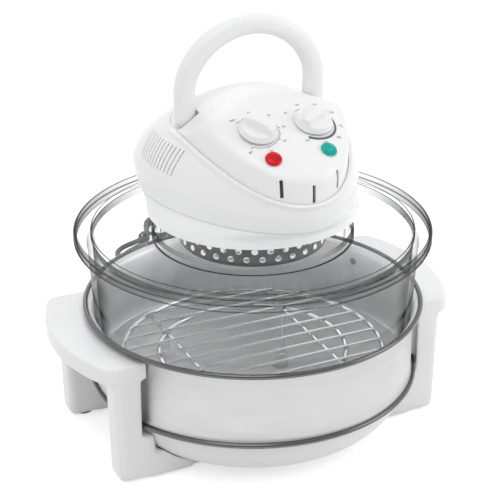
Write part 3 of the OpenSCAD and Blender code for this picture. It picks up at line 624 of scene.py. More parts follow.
def moulded(name, colour, rough=0.32, grain=1400.0, depth=0.000006, coat=0.0):
    """Moulded plastic: faint cloudiness, uneven gloss and a fine grain."""
    f = Finish(name)
    f.clouded(f.noise(22, 4), tone(colour, 0.99), tone(colour, 1.008))
    f.uneven(f.noise(90, 4), rough - 0.02, rough + 0.03, 0.25)
    f.bump(f.noise(grain, 2), depth)
    f.set(IOR=1.49, Coat_Weight=coat, Coat_Roughness=0.12)
    return f.material


def brushed(name, colour, rough=0.3, turns=2.0, up=2600.0, depth=0.00002, inside=1.0):
    """Sheet metal brushed round the Z axis; inside is how much brighter its inner side is painted,
    as painted light.
    """
    f = Finish(name)
    lines = f.noise(3.0, 6, f.around(turns, up))
    broad = f.noise(2.0, 3, f.around(turns * 0.8, up * 0.03))
    shade = f.mix(f.spread(lines, 0, 1, 0.3, 0.7), tone(colour, 0.93), tone(colour, 1.05))
    # Painted light: faces that look towards the Z axis are made brighter by the factor inside
    if inside != 1.0:
        shade = f.mix(f.spread(f.outwards(), 0, 1, -0.2, 0.2), tone(colour, inside), shade)
    f.feed("Base Color", shade)
    f.uneven(broad, rough - 0.05, rough + 0.09, 0.3, 0.7)
    f.bump(lines, depth)
    f.set(Metallic=1.0)
    return f.material


def plated(name, colour, rough=0.12):
    """Bright metal with a few fine marks."""
    f = Finish(name)
    f.clouded(f.noise(40, 3), tone(colour, 0.95), tone(colour, 1.03))
    f.uneven(f.noise(240, 4), rough - 0.03, rough + 0.08)
    f.bump(f.noise(900, 2), 0.00001)
    f.set(Metallic=1.0)
    return f.material


def clear_glass(name, colour, edge=0.12, rounded=()):
    """Clear glass: pale where it is seen square on, and darker towards its outlines by painted
    shade.

    rounded lists the radius and half width of the rims' rounded edges, in millimetres. Their
    painted shade is wider. Light goes straight through, and only front faces have gloss.
    """
    f = Finish(name)
    weight = f.add("ShaderNodeLayerWeight")
    weight.inputs["Blend"].default_value = 0.5
    facing = weight.outputs["Facing"]
    outline = f.spread(facing, 0, 1, 0.68, 0.96)
    if rounded:
        radius = f.vector("LENGTH", f.vector("MULTIPLY", f.coords, (1, 1, 0)))
        curved = 0.0
        for middle, half in rounded:
            near = f.number("COMPARE", radius, middle * MM, half * MM)
            curved = f.number("MAXIMUM", curved, near)
        above = f.number("GREATER_THAN", f.split(f.coords)["Z"], (RIM_Z - 9) * MM)
        pick = f.add("ShaderNodeMix", data_type="FLOAT")
        f.link(f.number("MULTIPLY", curved, above), pick.inputs[0])
        f.link(outline, pick.inputs[2])
        f.link(f.spread(facing, 0, 1, 0.1, 0.6), pick.inputs[3])
        outline = pick.outputs[0]
    haze = f.spread(f.noise(24, 3), 0.992, 1.0, 0.3, 0.7)
    # Painted shade: the light through the glass is darkened towards the outlines, down to edge
    # times the tint
    tint = f.vector("SCALE", f.mix(outline, tone(colour, 1), tone(colour, edge)), haze)
    straight = f.add("ShaderNodeBsdfTransparent")
    through = f.add("ShaderNodeBsdfRefraction")
    through.inputs["IOR"].default_value = 1.0
    through.inputs["Roughness"].default_value = 0.0
    for shader in (straight, through):
        f.link(tint, shader.inputs["Color"])
    f.set(Base_Color=tone(colour, 1), Metallic=1.0)
    f.uneven(f.noise(120, 3), 0.02, 0.05, 0.35, 0.8)
    f.bump(f.noise(30, 2), 0.00003, 0.2)
    share = f.spread(f.number("POWER", facing, 5.0), 0.03, 0.4)
    front = f.blend(share, through.outputs[0], f.shader.outputs["BSDF"])
    plain = f.number("MAXIMUM", f.add("ShaderNodeLightPath").outputs["Is Shadow Ray"],
                     f.add("ShaderNodeNewGeometry").outputs["Backfacing"])
    f.link(f.blend(plain, front, straight.outputs[0]), f.output)
    return f.material


def painted_shade_and_glow_sheet(name, outside, inside, rough=0.36):
    """Sheet metal round the Z axis with painted shade on its outer side, and painted light and a
    painted glow on its inner side.
    """
    f = Finish(name)
    side = f.outwards()
    # Painted shade and light: outer faces take the dark colour, inner faces the light one
    shade = f.mix(f.spread(side, 0, 1, -0.2, 0.3), inside, outside)
    marks = f.spread(f.noise(60, 3), 0, 0.04, 0.3, 0.7)
    f.feed("Base Color", f.mix(marks, shade, (0.5, 0.5, 0.5, 1)))
    f.uneven(f.noise(240, 4), rough - 0.04, rough + 0.04)
    # Painted glow: the inner faces give off light of the inner colour
    f.feed("Emission Strength", f.spread(side, 0.5, 0, -0.2, 0.3))
    f.set(Metallic=0.3, Emission_Color=inside)
    return f.material


def rubber(name, colour, rough=0.6):
    """Dull rubber with a fine grain."""
    f = Finish(name)
    f.clouded(f.noise(70, 4), tone(colour, 0.88), tone(colour, 1.12))
    f.uneven(f.noise(300, 3), rough - 0.07, rough + 0.08, 0.3, 0.7)
    f.bump(f.noise(1100, 2), 0.00004)
    return f.material


def tinted(name, colour):
    """A clear tinted signal lens with a faint painted glow of its own colour."""
    f = Finish(name)
    f.clouded(f.noise(220, 3), tone(colour, 0.45), tone(colour, 1.3))
    f.uneven(f.noise(400, 2), 0.04, 0.1, 0, 1)
    # Emission: a faint painted glow of the lens's own colour
    f.set(IOR=1.3, Transmission_Weight=0.2, Coat_Weight=0.1, Coat_Roughness=0.03,
          Emission_Color=tone(colour, 1), Emission_Strength=0.2)
    return f.material


def wound(name, colour):
    """Fine wire wound in even layers."""
    f = Finish(name)
    wave = f.add("ShaderNodeTexWave", bands_direction="Y")
    wave.inputs["Scale"].default_value = 420
    f.link(f.coords, wave.inputs["Vector"])
    f.feed("Base Color", f.mix(wave.outputs["Fac"], tone(colour, 0.6), tone(colour, 1.2)))
    f.bump(wave.outputs["Fac"], 0.0002)
    f.set(Roughness=0.35, Metallic=0.4)
    return f.material


class OvenColours(bpy.types.PropertyGroup):
    plastic: bpy.props.FloatVectorProperty(
        name="White plastic", description="Colour of the white mouldings", subtype="COLOR",
        default=(0.87, 0.872, 0.878), min=0, max=1)
    steel: bpy.props.FloatVectorProperty(
        name="Band steel", description="Colour of the steel band", subtype="COLOR",
        default=(0.57, 0.57, 0.575), min=0, max=1)
    glass: bpy.props.FloatVectorProperty(
        name="Glass", description="Tint of the glass", subtype="COLOR",
        default=(0.992, 0.996, 0.995), min=0, max=1)
    cord: bpy.props.FloatVectorProperty(
        name="Mains cord", description="Colour of the mains cord and its plug", subtype="COLOR",
        default=(0.045, 0.058, 0.055), min=0, max=1)
    print_ink: bpy.props.FloatVectorProperty(
        name="Dial print", description="Colour of the marks round the knobs", subtype="COLOR",
        default=(0.12, 0.12, 0.125), min=0, max=1)
    red: bpy.props.FloatVectorProperty(
        name="Red lens", description="Colour of the left signal lens", subtype="COLOR",
        default=(0.6, 0.002, 0.012), min=0, max=1)
    green: bpy.props.FloatVectorProperty(
        name="Green lens", description="Colour of the right signal lens", subtype="COLOR",
        default=(0.002, 0.43, 0.35), min=0, max=1)


class OvenSizes(bpy.types.PropertyGroup):
    vent_count: bpy.props.IntProperty(
        name="Vent slots", description="Slots on each shoulder of the head",
        default=12, min=6, max=14)
    vent_pitch: bpy.props.FloatProperty(
        name="Vent pitch", description="Distance between the vent slots", subtype="DISTANCE",
        default=0.0054, min=0.0046, max=0.006)
    bead: bpy.props.FloatProperty(
        name="Panel bead", description="Height of the lip round the panel", subtype="DISTANCE",
        default=0.0031, min=0, max=0.0035)
    guard_rows: bpy.props.IntProperty(
        name="Guard rows", description="Rows of holes in the lamp guard's wall",
        default=3, min=2, max=4)
    edge_round: bpy.props.FloatProperty(
        name="Edge round", description="Radius of the side frames' edges", subtype="DISTANCE",
        default=0.003, min=0.001, max=0.005)


# Filled by the first operator, by the short names that the pieces use
materials = {}


def finish_piece(obj, material, body, slot, *replaced):
    """Paints a finished piece, ties it to its body and lets it stand for its CAD nodes."""
    obj.data.materials.clear()
    obj.data.materials.append(materials[material])
    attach(obj, body)
    if replaced:
        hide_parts(*replaced)
    return obj


def dress(material, *names):
    """Gives CAD nodes that stay in view a better material."""
    for name in names:
        slots = nodes[name].data.materials
        slots.clear()
        slots.append(materials[material])


class OVEN_OT_materials(bpy.types.Operator):
    """Makes the materials of all pieces"""

    bl_idname = "oven.materials"
    bl_label = "Materials"

    def execute(self, context):
        c = context.scene.oven_colours
        # Rims whose rounded edges get a wider band of painted shade in the glass
        rims = ((RIM_R, 3.2), (NECK_R + 2, 1.3), (BOWL_R - 4.4, 0.7))
        materials.update(
            plastic=moulded("White plastic", c.plastic, 0.3),
            dish=moulded("Dish plastic", tone(c.plastic, 0.97), 0.42),
            knob=moulded("Knob plastic", tone(c.plastic, 0.98), 0.22, coat=0.2),
            # The band's inner side gets painted light, 1.6 times as bright as its outer side
            steel=brushed("Band steel", c.steel, 0.38, inside=1.6),
            # The lamp guard: painted shade on its outer side, painted light and glow on its inner
            # side
            guard=painted_shade_and_glow_sheet("Guard sheet", (0.075, 0.075, 0.08, 1), (0.85, 0.85, 0.84, 1)),
            # Painted shade: the polished beads are made very dark to stand in for their dark
            # reflections
            rolled=plated("Rolled beads", (0.15, 0.15, 0.155)),
            reflector=brushed("Reflector sheet", (0.72, 0.72, 0.73), 0.22, 3.0, 1200.0),
            bright=plated("Bright wire", (0.74, 0.74, 0.75), 0.14),
            screw=plated("Plated screws", (0.6, 0.6, 0.6), 0.26),
            turned=plated("Turned steel", (0.52, 0.52, 0.53), 0.3),
            brass=plated("Plug pins", (0.72, 0.62, 0.36), 0.2),
            glass=clear_glass("Clear glass", c.glass, rounded=rims),
            quartz=clear_glass("Quartz tube", (0.95, 0.94, 0.9), 0.3),
            ceramic=moulded("Ceramic", (0.74, 0.71, 0.65), 0.5, 600.0, 0.00004),
            foot=rubber("Foot rubber", (0.1, 0.1, 0.105)),
            pad=rubber("Pad silicone", (0.62, 0.62, 0.61), 0.5),
            cord=rubber("Cord sheath", c.cord, 0.48),
            tie=rubber("Cord tie", (0.02, 0.02, 0.02), 0.4),
            dark=moulded("Dark plastic", (0.05, 0.05, 0.052), 0.45),
            core=brushed("Stacked sheet", (0.36, 0.36, 0.37), 0.4, 0.5, 9000.0, 0.0001),
            coil=wound("Winding", (0.5, 0.22, 0.08)),
            ink=moulded("Dial print", c.print_ink, 0.5, 900.0, 0.000004),
            red=tinted("Red lens", c.red),
            green=tinted("Green lens", c.green),
        )
        return {"FINISHED"}


# ---------------------------------------------------------------- camera and stage
PHOTO_SIZE = 500
SENSOR = 36.0
FOCAL_PIXELS = 1621.016
CAMERA_AIM = Vector((0, 0, 0.179161))
CAMERA_TURN = math.radians(-25.451)
CAMERA_UP = math.radians(24.762)
CAMERA_AWAY = 1.55
LAMPS = (
    # name, place, aim, size, power
    ("Key", (-0.5, -0.6, 1.9), (0.05, 0, 0.2), 1.2, 6.5),
    ("Fill", (1.6, -0.9, 0.9), (0, 0, 0.15), 1.3, 7.0),
    ("Back", (0.3, 1.6, 1.4), (0, 0, 0.25), 1.2, 2.5),
)
SKY_LIGHT = 0.82
FLOOR_GLOW = 0.55


def aim(obj, place, way):
    """Puts a lamp or camera at a place, looking along a way."""
    obj.location = place
    obj.rotation_euler = way.to_track_quat("-Z", "Y").to_euler()


class OVEN_OT_stage(bpy.types.Operator):
    """Makes the camera, the lamps, the floor and the world"""

    bl_idname = "oven.stage"
    bl_label = "Stage"

    def execute(self, context):
        self.camera(context)
        self.world(context)
        self.floor()
        for name, place, target, size, power in LAMPS:
            data = bpy.data.lights.new(name, "AREA")
            data.shape = "DISK"
            data.size = size
            data.energy = power
            aim(link_new(name, data), place, Vector(target) - Vector(place))
        context.scene.view_settings.view_transform = "Standard"
        return {"FINISHED"}

    def camera(self, context):
        data = bpy.data.cameras.new("Camera")
        data.sensor_width = SENSOR
        data.lens = FOCAL_PIXELS * SENSOR / PHOTO_SIZE
        data.shift_x = -0.0056
        data.clip_end = 60
        level = math.cos(CAMERA_UP)
        back = Vector((math.sin(CAMERA_TURN) * level, -math.cos(CAMERA_TURN) * level,
                       math.sin(CAMERA_UP)))
        context.scene.camera = link_new("Camera", data)
        aim(context.scene.camera, CAMERA_AIM + back * CAMERA_AWAY, -back)

    def world(self, context):
        """Matt surfaces are lit from above, gloss sees grey low in front, the camera sees white."""
        world = bpy.data.worlds.new("Studio")
        context.scene.world = world
        world.use_nodes = True
        n = Nodes(world.node_tree)
        way = n.add("ShaderNodeTexCoord").outputs["Generated"]
        lean = n.vector("DOT_PRODUCT", way, (0.1, 0.75, 0.65))
        height = n.number("MULTIPLY_ADD", lean, 0.5, 0.5)

        def ramp(first, colour, last):
            node = n.add("ShaderNodeValToRGB")
            n.link(height, node.inputs[0])
            for element, place, shade in zip(node.color_ramp.elements, (first, last),
                                             (colour, WHITE)):
                element.position = place
                element.color = shade
            return node.outputs[0]

        def background(colour, strength):
            node = n.add("ShaderNodeBackground")
            n.link(colour, node.inputs["Color"])
            node.inputs["Strength"].default_value = strength
            return node.outputs[0]

        gloss = ramp(0.2, (0.25, 0.25, 0.26, 1), 0.62)
        camera = n.add("ShaderNodeLightPath").outputs["Is Camera Ray"]
        seen = background(n.mix(camera, gloss, WHITE), 1.0)
        light = background(ramp(0.15, (0.8, 0.8, 0.8, 1), 0.7), SKY_LIGHT)
        n.link(n.blend(n.seen_rays(), light, seen),
               n.add("ShaderNodeOutputWorld").inputs["Surface"])

    def floor(self):
        """A floor that is white to the camera and keeps the oven's shadow."""
        corners = [(-6, -6, 0), (6, -6, 0), (6, 6, 0), (-6, 6, 0)]
        floor = new_object("Floor", corners, [[0, 1, 2, 3]], 1.0)
        f = Finish("Floor")
        f.set(Base_Color=(0.8, 0.8, 0.8, 1), Specular_IOR_Level=0.1)
        f.uneven(f.noise(3, 2), 0.85, 0.95, 0, 1)
        glow = f.add("ShaderNodeEmission")
        f.link(f.number("MULTIPLY", f.seen_rays(), FLOOR_GLOW), glow.inputs["Strength"])
        total = f.add("ShaderNodeAddShader")
        f.link(f.shader.outputs["BSDF"], total.inputs[0])
        f.link(glow.outputs[0], total.inputs[1])
        f.link(total.outputs[0], f.output)
        floor.data.materials.append(f.material)


# ---------------------------------------------------------------- mains cord
# From the gland down behind the oven and along the table to the hank
LEAD_ROUTE = [
    (0, GLAND_Y, GLAND_Z), (0, GLAND_Y + 16, GLAND_Z - 1), (0, 184, 250), (0, 197, 234),
    (0, 204, 212), (0, 206, 180), (0, 207, 140), (0, 208, 100), (0, 210, 62), (0, 216, 34),
    (1, 230, 14), (3, 247, 6), (7, 268, 4), (14, 292, 4), (24, 318, 4), (34, 338, 4),
]
# The hank: its middle, its direction, the length of its runs, the outer and inner radius of its
# ends, how narrow its waist is, and how high its turns lie
HANK_MID = (62, 415)
HANK_TURN = math.radians(48)
HANK_RUN = 93
HANK_OUT = 29
HANK_IN = 18
HANK_WAIST = 0.42
HANK_LOOPS = 2
HANK_LIFT = 1.5
HANK_LAYER = CORD_D + 0.6
HANK_END = 45 / 24
TAIL_END = (91, 321, 7)


def hank_place(x, y, z):
    """A point of the hank, given along and across its runs."""
    c, s = math.cos(HANK_TURN), math.sin(HANK_TURN)
    return Vector((HANK_MID[0] + x * c - y * s, HANK_MID[1] + x * s + y * c, z))


def hank_at(k):
    """The hank's line after k turns: two waisted runs and two ends for each turn."""
    u = k - math.floor(k)
    half = HANK_RUN / 2
    middle = HANK_LOOPS / 2
    r = HANK_OUT - (HANK_OUT - HANK_IN) * (k if k < middle else HANK_LOOPS - k) / middle
    z = CORD_D / 2 + HANK_LIFT + HANK_LAYER * ease((k - middle + 0.25) * 4)

    def waist(x):
        return 1 - (1 - HANK_WAIST) * math.cos(math.pi / 2 * x / half) ** 2

    if u < 0.25:
        x = -half + HANK_RUN * u * 4
        return hank_place(x, -r * waist(x), z)
    if u < 0.5:
        a = 4 * math.pi * (u - 0.25) - math.pi / 2
        return hank_place(half + r * math.cos(a), r * math.sin(a), z)
    if u < 0.75:
        x = half - HANK_RUN * (u - 0.5) * 4
        return hank_place(x, r * waist(x), z)
    a = 4 * math.pi * (u - 0.75) + math.pi / 2
    return hank_place(-half + r * math.cos(a), r * math.sin(a), z)


def smooth_route(points, steps=6):
    """A smooth line through the points of a route."""
    pts = [Vector(p) for p in points]
    pts = [2 * pts[0] - pts[1]] + pts + [2 * pts[-1] - pts[-2]]
    line = []
    for a, b, c, d in zip(pts, pts[1:], pts[2:], pts[3:]):
        for k in range(steps):
            u = k / steps
            line.append(0.5 * (2 * b + (c - a) * u + (2 * a - 5 * b + 4 * c - d) * u * u
                               + (3 * b - a - 3 * c + d) * u ** 3))
    return line + [pts[-2]]


def cord_line():
    """The whole line of the cord: lead, hank and tail."""
    hank = [hank_at(HANK_END * i / 90) for i in range(91)]
    way = Vector((math.cos(HANK_TURN), math.sin(HANK_TURN), 0))
    lead = smooth_route(LEAD_ROUTE + [hank[0] - 16 * way, hank[0] - CORD_D * way, hank[0]])
    out = (hank[-1] - hank[-2]).normalized()
    x, y, z = TAIL_END
    tail = smooth_route([hank[-1], hank[-1] + CORD_D * out, (23.5, 349.5, 11.3), (39, 336, 11.4),
                         (59, 326, 10), (75, 321.6, 7.6), (x - CORD_D, y, z), TAIL_END])
    return lead[:-1] + hank + tail[1:]


class OVEN_OT_cord(bpy.types.Operator):
    """Makes the mains cord with its gland, hank, tie and plug"""

    bl_idname = "oven.cord"
    bl_label = "Mains cord"

    def execute(self, context):
        line = cord_line()
        curve = bpy.data.curves.new("mains_cord", "CURVE")
        curve.dimensions = "3D"
        curve.bevel_depth = CORD_D / 2 * MM
        curve.bevel_resolution = 5
        curve.use_fill_caps = True
        spline = curve.splines.new("POLY")
        spline.points.add(len(line) - 1)
        for point, place in zip(spline.points, line):
            point.co = (*(place * MM), 1)
        spline.use_smooth = True
        cord = link_new("mains_cord", curve)
        finish_piece(cord, "cord", "lid", "cord", "cord_lead", "cord_hank", "cord_tail")
        length = sum((b - a).length for a, b in zip(line, line[1:])) * MM
        ends = [self.plug(), self.tie(), "plug_pins"]
        self.gland()
        dress("brass", "plug_pins")
        return {"FINISHED"}

    def gland(self):
        """A flange outside the housing's seat and a ribbed taper along the cord."""
        profile = [(0.5, -7), (5, -7), (5, -0.6), (8.2, -0.6), (8.5, -0.3), (8.5, 2.1), (8.2, 2.4),
                   (6.6, 2.5)]
        for i in range(7):
            z = 4 + i * 3.6
            r = 6.4 - i * 0.32
            profile += [(r, z), (r, z + 1.9), (r - 0.9, z + 2.2), (r - 0.9, z + 3.3)]
        profile += [(4.2, 29), (4, GLAND_L), (3.05, GLAND_L), (3.05, 24), (0.5, 24)]
        gland = revolved("cord_relief", profile, 40)
        moved(gland, to_place(0, GLAND_Y - GLAND_L, GLAND_Z), turned(-90, "X"))
        finish_piece(gland, "cord", "lid", "cord", "cord_gland")

    def plug(self):
        """A waisted body behind a ribbed sleeve over the end of the cord."""
        # How far along, half width and half height
        places = [(-20.5, 3.3, 3.3), (-20, 3.8, 3.8)]
        for k in range(5):
            wide = 3.9 + k * 0.05
            places += [(4 * k - 18, wide, 3.9), (4 * k - 17.6, 3.5, 3.5),
                       (4 * k - 16.2, 3.5, 3.5), (4 * k - 15.8, wide, 3.9)]
        places += [(1, 4.2, 4.0), (4, 4.4, 4.1), (4.6, 3.9, 3.7), (6.4, 4.0, 3.8), (7, 4.8, 4.4),
                   (9, 5.0, 4.6), (9.6, 4.4, 4.1), (11.2, 5.2, 4.6), (12, 9.4, 5.8),
                   (13.4, 11.4, 6.6), (16, 11.9, 6.95), (20, 11.2, 6.7), (26, 11.3, 6.8),
                   (31, 11.9, 6.95), (33.2, 11.8, 6.8), (34, 11.2, 6.2)]
        around = [squarish(TAU * k / 32, 2 / 3.2) for k in range(32)]

        def section(i):
            return [(places[i][2] * c, places[i][1] * s) for c, s in around]

        path = []
        for along, _, _ in places:
            rise = 0.06 * max(0, -6 - along)
            path.append((TAIL_END[0] + along, TAIL_END[1] + rise, TAIL_END[2] + rise))
        return finish_piece(swept("mains_plug", path, section), "cord", "lid", "cord", "plug")

    def tie(self):
        """A flat band round the waist of the hank."""
        half = HANK_OUT * HANK_WAIST + CORD_D / 2 + 1.2
        top = CORD_D + HANK_LAYER + HANK_LIFT + 1.6
        rings = []
        for x, grow in ((-4, 0.3), (-3.5, 1.0), (3.5, 1.0), (4, 0.3), (4, 0.0), (-4, 0.0)):
            ring = []
            for k in range(64):
                c, s = squarish(TAU * k / 64, 0.45)
                y = (half + 1.2 * grow) * c
                z = (top + 1.2) / 2 + ((top - 1.2) / 2 + 1.15 * grow) * s
                ring.append(tuple(hank_place(x, y, z)))
            rings.append(ring)
        tie = settle(ring_skin("hank_tie", rings), 50)
        return finish_piece(tie, "tie", "lid", "tie", "cord_tie")


# ---------------------------------------------------------------- stand
class OVEN_OT_stand(bpy.types.Operator):
    """Makes the steel band, the base dish and the two side frames"""

    bl_idname = "oven.stand"
    bl_label = "Stand"

    def execute(self, context):
        self.band()
        self.dish()
        self.frames(context.scene.oven_sizes.edge_round / MM)
        return {"FINISHED"}

    def band(self):
        """A thin sheet that flares into its beads, and the two rolled beads."""
        r, low, top = BAND_R, BAND_LOW, BAND_TOP
        inner = r - BAND_T
        profile = [(r + 5, top - 0.5), (r + 2.4, top - 3.2), (r, top - 6.5), (r, low + 6.5),
                   (r + 0.7, low + 3.4), (r + 1.6, low + 1.4), (r + 1.2, low - 0.4),
                   (r + 0.4, low + 1.2), (inner, low + 5.5), (inner, top - 5.8),
                   (r + 1.7, top - 2.2), (r + 5, top + 0.4)]
        skin = revolved("steel_band_skin", profile, 192)
        finish_piece(skin, "steel", "stand", "steel", "steel_band")
        # The beads' very dark colour is painted shade for the dark reflections of polished steel
        for name, z, out in (("upper_bead", top, TOP_BEAD_R), ("lower_bead", low, LOW_BEAD_R)):
            curl = arc(out - BEAD_T / 2, z, BEAD_T / 2, 0, 345, 23)
            finish_piece(revolved(name, curl, 192), "rolled", "stand", "steel", "steel_band")

    def dish(self):
        rim = BAND_LOW + BEAD_T
        cx, cz = DISH_R - DISH_ROUND, DISH_FLOOR + DISH_ROUND
        outer = [(0, DISH_FLOOR), (50, DISH_FLOOR)] + arc(cx, cz, DISH_ROUND, -90, 0, 28)
        inner = [(DISH_R - DISH_T, rim)] + arc(cx, cz, DISH_ROUND - DISH_T, 0, -90, 28)
        inner += [(50, DISH_FLOOR + DISH_T), (0, DISH_FLOOR + DISH_T)]
        skin = revolved("base_dish_skin", outer + [(DISH_R, rim)] + inner, 192)
        finish_piece(skin, "dish", "stand", "strap_plastic", "base_dish")

    def frames(self, edge):
        """The right side frame and its mirror image; edge is the radius of their edges."""
        top, under = HANDLE_TOP, HANDLE_TOP - HANDLE_T
        frame_obj = extruded("side_frame", self.handle_plan(), under, top,
                             lambda a, b, c: (a, b, c))
        leg_top = top - 8
        side = [(LEG_IN, FOOT_T), (LEG_OUT, FOOT_T), (LEG_OUT + LEG_LEAN * leg_top, leg_top),
                (LEG_IN, leg_top)]
        room = [(0, 47), (FRAME_IN, 47), (FRAME_IN, 140), (0, 140)]
        for y_low, y_high in LEG_SPANS:
            leg = extruded("leg", side, y_low, y_high, lambda a, b, c: (a, c, b))
            cut(bevelled(leg, LEG_ROUND, 6), room)
            combine(frame_obj, leg, "UNION")
            stub = boxed("stub", (STUB_IN, y_low, FOOT_T), (STUB_OUT, y_high, STUB_TOP))
            combine(frame_obj, bevelled(stub, 3, 3), "UNION")
        # Room beside the band in front, and round the dish, the lower bead and the straps
        slit = revolved("cut", [(150, 47), (161, 47), (161, under), (150, under)], 128)
        combine(slit, boxed("half", (0, -200, 0), (200, FRAME_FRONT + 11, 200)), "INTERSECT")
        combine(frame_obj, slit, "DIFFERENCE")
        cx, cz = DISH_R - DISH_ROUND, DISH_FLOOR + DISH_ROUND
        dish = [(0, DISH_FLOOR - 0.7), (cx, DISH_FLOOR - 0.7)]
        dish += arc(cx, cz, DISH_ROUND + 0.7, -90, 0, 28)
        cut(frame_obj, dish + [(DISH_R + 0.7, 70), (0, 70)])
        cut(frame_obj, arc(LOW_BEAD_R - BEAD_T / 2, BAND_LOW, BEAD_T / 2 + 0.6, 0, 345, 23))
        for y in (STAND_FRONT + STRAP_INSET, STAND_REAR - STRAP_INSET - STRAP_W):
            strap = boxed("cut", (STRAP_IN, y, -1), (STRAP_OUT, y + STRAP_W, STRAP_TOP))
            combine(frame_obj, strap, "DIFFERENCE")
        modified(frame_obj, "REMESH", mode="VOXEL", voxel_size=1.4 * MM)
        modified(frame_obj, "SMOOTH", factor=0.5, iterations=round(edge * 4))
        bake(frame_obj)
        settle(frame_obj, 60, 1e-7)
        left = mirrored(frame_obj, "left_frame_moulding")
        frame_obj.name = "right_frame_moulding"
        for moulding, node in ((frame_obj, "side_frame_right"), (left, "side_frame_left")):
            finish_piece(moulding, "plastic", "stand", "white_plastic", node)

    def handle_plan(self):
        """The handle's plan: a bow outside with rounded ends, and the band's curve inside."""
        mid_x, mid_y = HANDLE_MID
        corner = HANDLE_CORNER
        reach = HANDLE_R - mid_x
        low, high = FRAME_FRONT + corner - mid_y, FRAME_REAR - corner - mid_y
        first, last = (math.degrees(math.asin(y / (reach - corner))) for y in (low, high))

        def rounding(y, start, end):
            x = math.sqrt((reach - corner) ** 2 - y * y)
            return arc(mid_x + x, mid_y + y, corner, start, end, 10)

        bow = arc(mid_x, mid_y, reach, first, last, 48)[1:-1]
        ends = (math.degrees(math.asin(y / FRAME_IN)) for y in (FRAME_REAR, FRAME_FRONT))
        return (rounding(low, -90, first) + bow + rounding(high, last, 90)
                + arc(0, 0, FRAME_IN, *ends, 48))


# ---------------------------------------------------------------- glass and rack
class OVEN_OT_glass(bpy.types.Operator):
    """Makes the glass bowl, the glass lid and the wire rack"""

    bl_idname = "oven.glass"
    bl_label = "Glass and rack"

    def execute(self, context):
        self.bowl()
        self.lid()
        self.rack()
        return {"FINISHED"}

    def rim(self, z):
        """The outer half of a rim flange, from its underside to its top."""
        r = RIM_T / 2
        return arc(RIM_R - r, z + r, r, -90, 90, 12)

    def bowl(self):
        foot_r = BOWL_R - (RIM_Z - RIM_T - BOWL_FOOT - BOWL_ROUND) * math.tan(DRAFT)
        cx = foot_r - BOWL_ROUND / math.cos(DRAFT)
        cz = BOWL_FOOT + BOWL_ROUND
        slope = -math.degrees(DRAFT)

        def wall(depth, z):
            base = arc(cx, cz, BOWL_ROUND - depth, -90, slope, 28)[-1]
            return base[0] + (z - base[1]) * math.tan(DRAFT), z

        under = RIM_Z - RIM_T
        outer = [(0, BOWL_FOOT), (50, BOWL_FOOT)] + arc(cx, cz, BOWL_ROUND, -90, slope, 28)
        outer += [wall(0, 100), wall(0, 150), wall(0, under - 3)]
        x, z = wall(0, under - 3)
        outer += [(x + 0.5, under - 1.2), (x + 1.8, under - 0.3), (x + 3.4, under)]
        top = [(wall(GLASS_T, RIM_Z)[0] + 1.6, RIM_Z), (wall(GLASS_T, RIM_Z)[0] + 0.4, RIM_Z - 0.6),
               wall(GLASS_T, RIM_Z - 2), wall(GLASS_T, 150), wall(GLASS_T, 100)]
        inner = arc(cx, cz, BOWL_ROUND - GLASS_T, slope, -90, 28)
        inner += [(50, BOWL_FOOT + GLASS_T), (0, BOWL_FOOT + GLASS_T)]
        bowl = revolved("glass_bowl_skin", outer + self.rim(under) + top + inner, 192)
        finish_piece(bowl, "glass", "bowl", "glass", "glass_bowl")

    def lid(self):
        low = LID_TOP - BRIM_DIP
        brim_in, brim_out = NECK_R + 8, RIM_R - RIM_W
        neck_in = NECK_R - GLASS_T
        below = low - GLASS_T
        under = [(neck_in + 1.2, below), (brim_in, below + 0.1), (brim_out - 8.6, RIM_Z - 0.1),
                 (brim_out - 7.5, RIM_Z)]
        over = [(brim_out + 2.5, LID_TOP), (brim_out + 0.6, LID_TOP - 0.4),
                (brim_out - 1.5, LID_TOP - 1.1), (brim_in + 20, low + 2.0), (brim_in, low + 0.05)]
        fillet = arc(brim_in, low + 8, 8, -90, -180, 10)[1:]
        neck = [(NECK_R, NECK_TOP - 4.6), (NECK_R + 0.6, NECK_TOP - 4)]
        lip = arc(LIP_R - 1.6, NECK_TOP - 2.0, 1.9, -80, 80, 8)
        inner = [(neck_in + 0.8, NECK_TOP - 0.1), (neck_in, NECK_TOP - 0.9), (neck_in, below + 1.2)]
        outline = under + self.rim(RIM_Z) + over + fillet + neck + lip + inner
        finish_piece(revolved("glass_lid_skin", outline, 192), "glass", "lid", "glass", "glass_lid")

    def rack(self):
        floor = BOWL_FOOT + GLASS_T
        top = floor + RACK_UP
        mid = top - 5.4
        end = mid - 0.6
        parts = []

        def bar(points, radius):
            parts.append(swept("wire", points, circle_section(radius, 14)))

        for r in (RACK_R, RACK_LEG_R):
            parts.append(revolved("wire", arc(r, mid, RACK_WIRE / 2, 0, 345, 23), 128))
        for i in range(-5, 6):
            y = i * 21
            half = math.sqrt(RACK_R * RACK_R - y * y) + 0.4
            hook = ((half + 0.6, end), (half - 0.6, top - 3.0), (half - 2.4, top - 1.7),
                    (half - 4.5, top - 1.5))
            bar([(-x, y, z) for x, z in hook] + [(x, y, z) for x, z in reversed(hook)], 1.5)
        for x in (-RACK_R / 2, RACK_R / 2):
            half = math.sqrt(RACK_R * RACK_R - x * x)
            bar([(x, -half, mid), (x, half, mid)], 2.0)
        tip = [(0, 0), (3.9, 0), (4.4, 0.5), (4.4, 2), (3.4, 3.2), (2.6, 3.6), (0, 3.6)]
        for k in range(4):
            x, y = polar(RACK_LEG_R, math.radians(45 + 90 * k))
            bar([(x, y, floor + 1.5), (x, y, mid)], RACK_WIRE / 2)
            parts.append(moved(revolved("foot", tip, 24), to_place(x, y, floor)))
        rack = settle(joined("wire_rack_skin", *parts), 60)
        finish_piece(rack, "bright", "rack", "rack_wire", "wire_rack", "rack_wires")


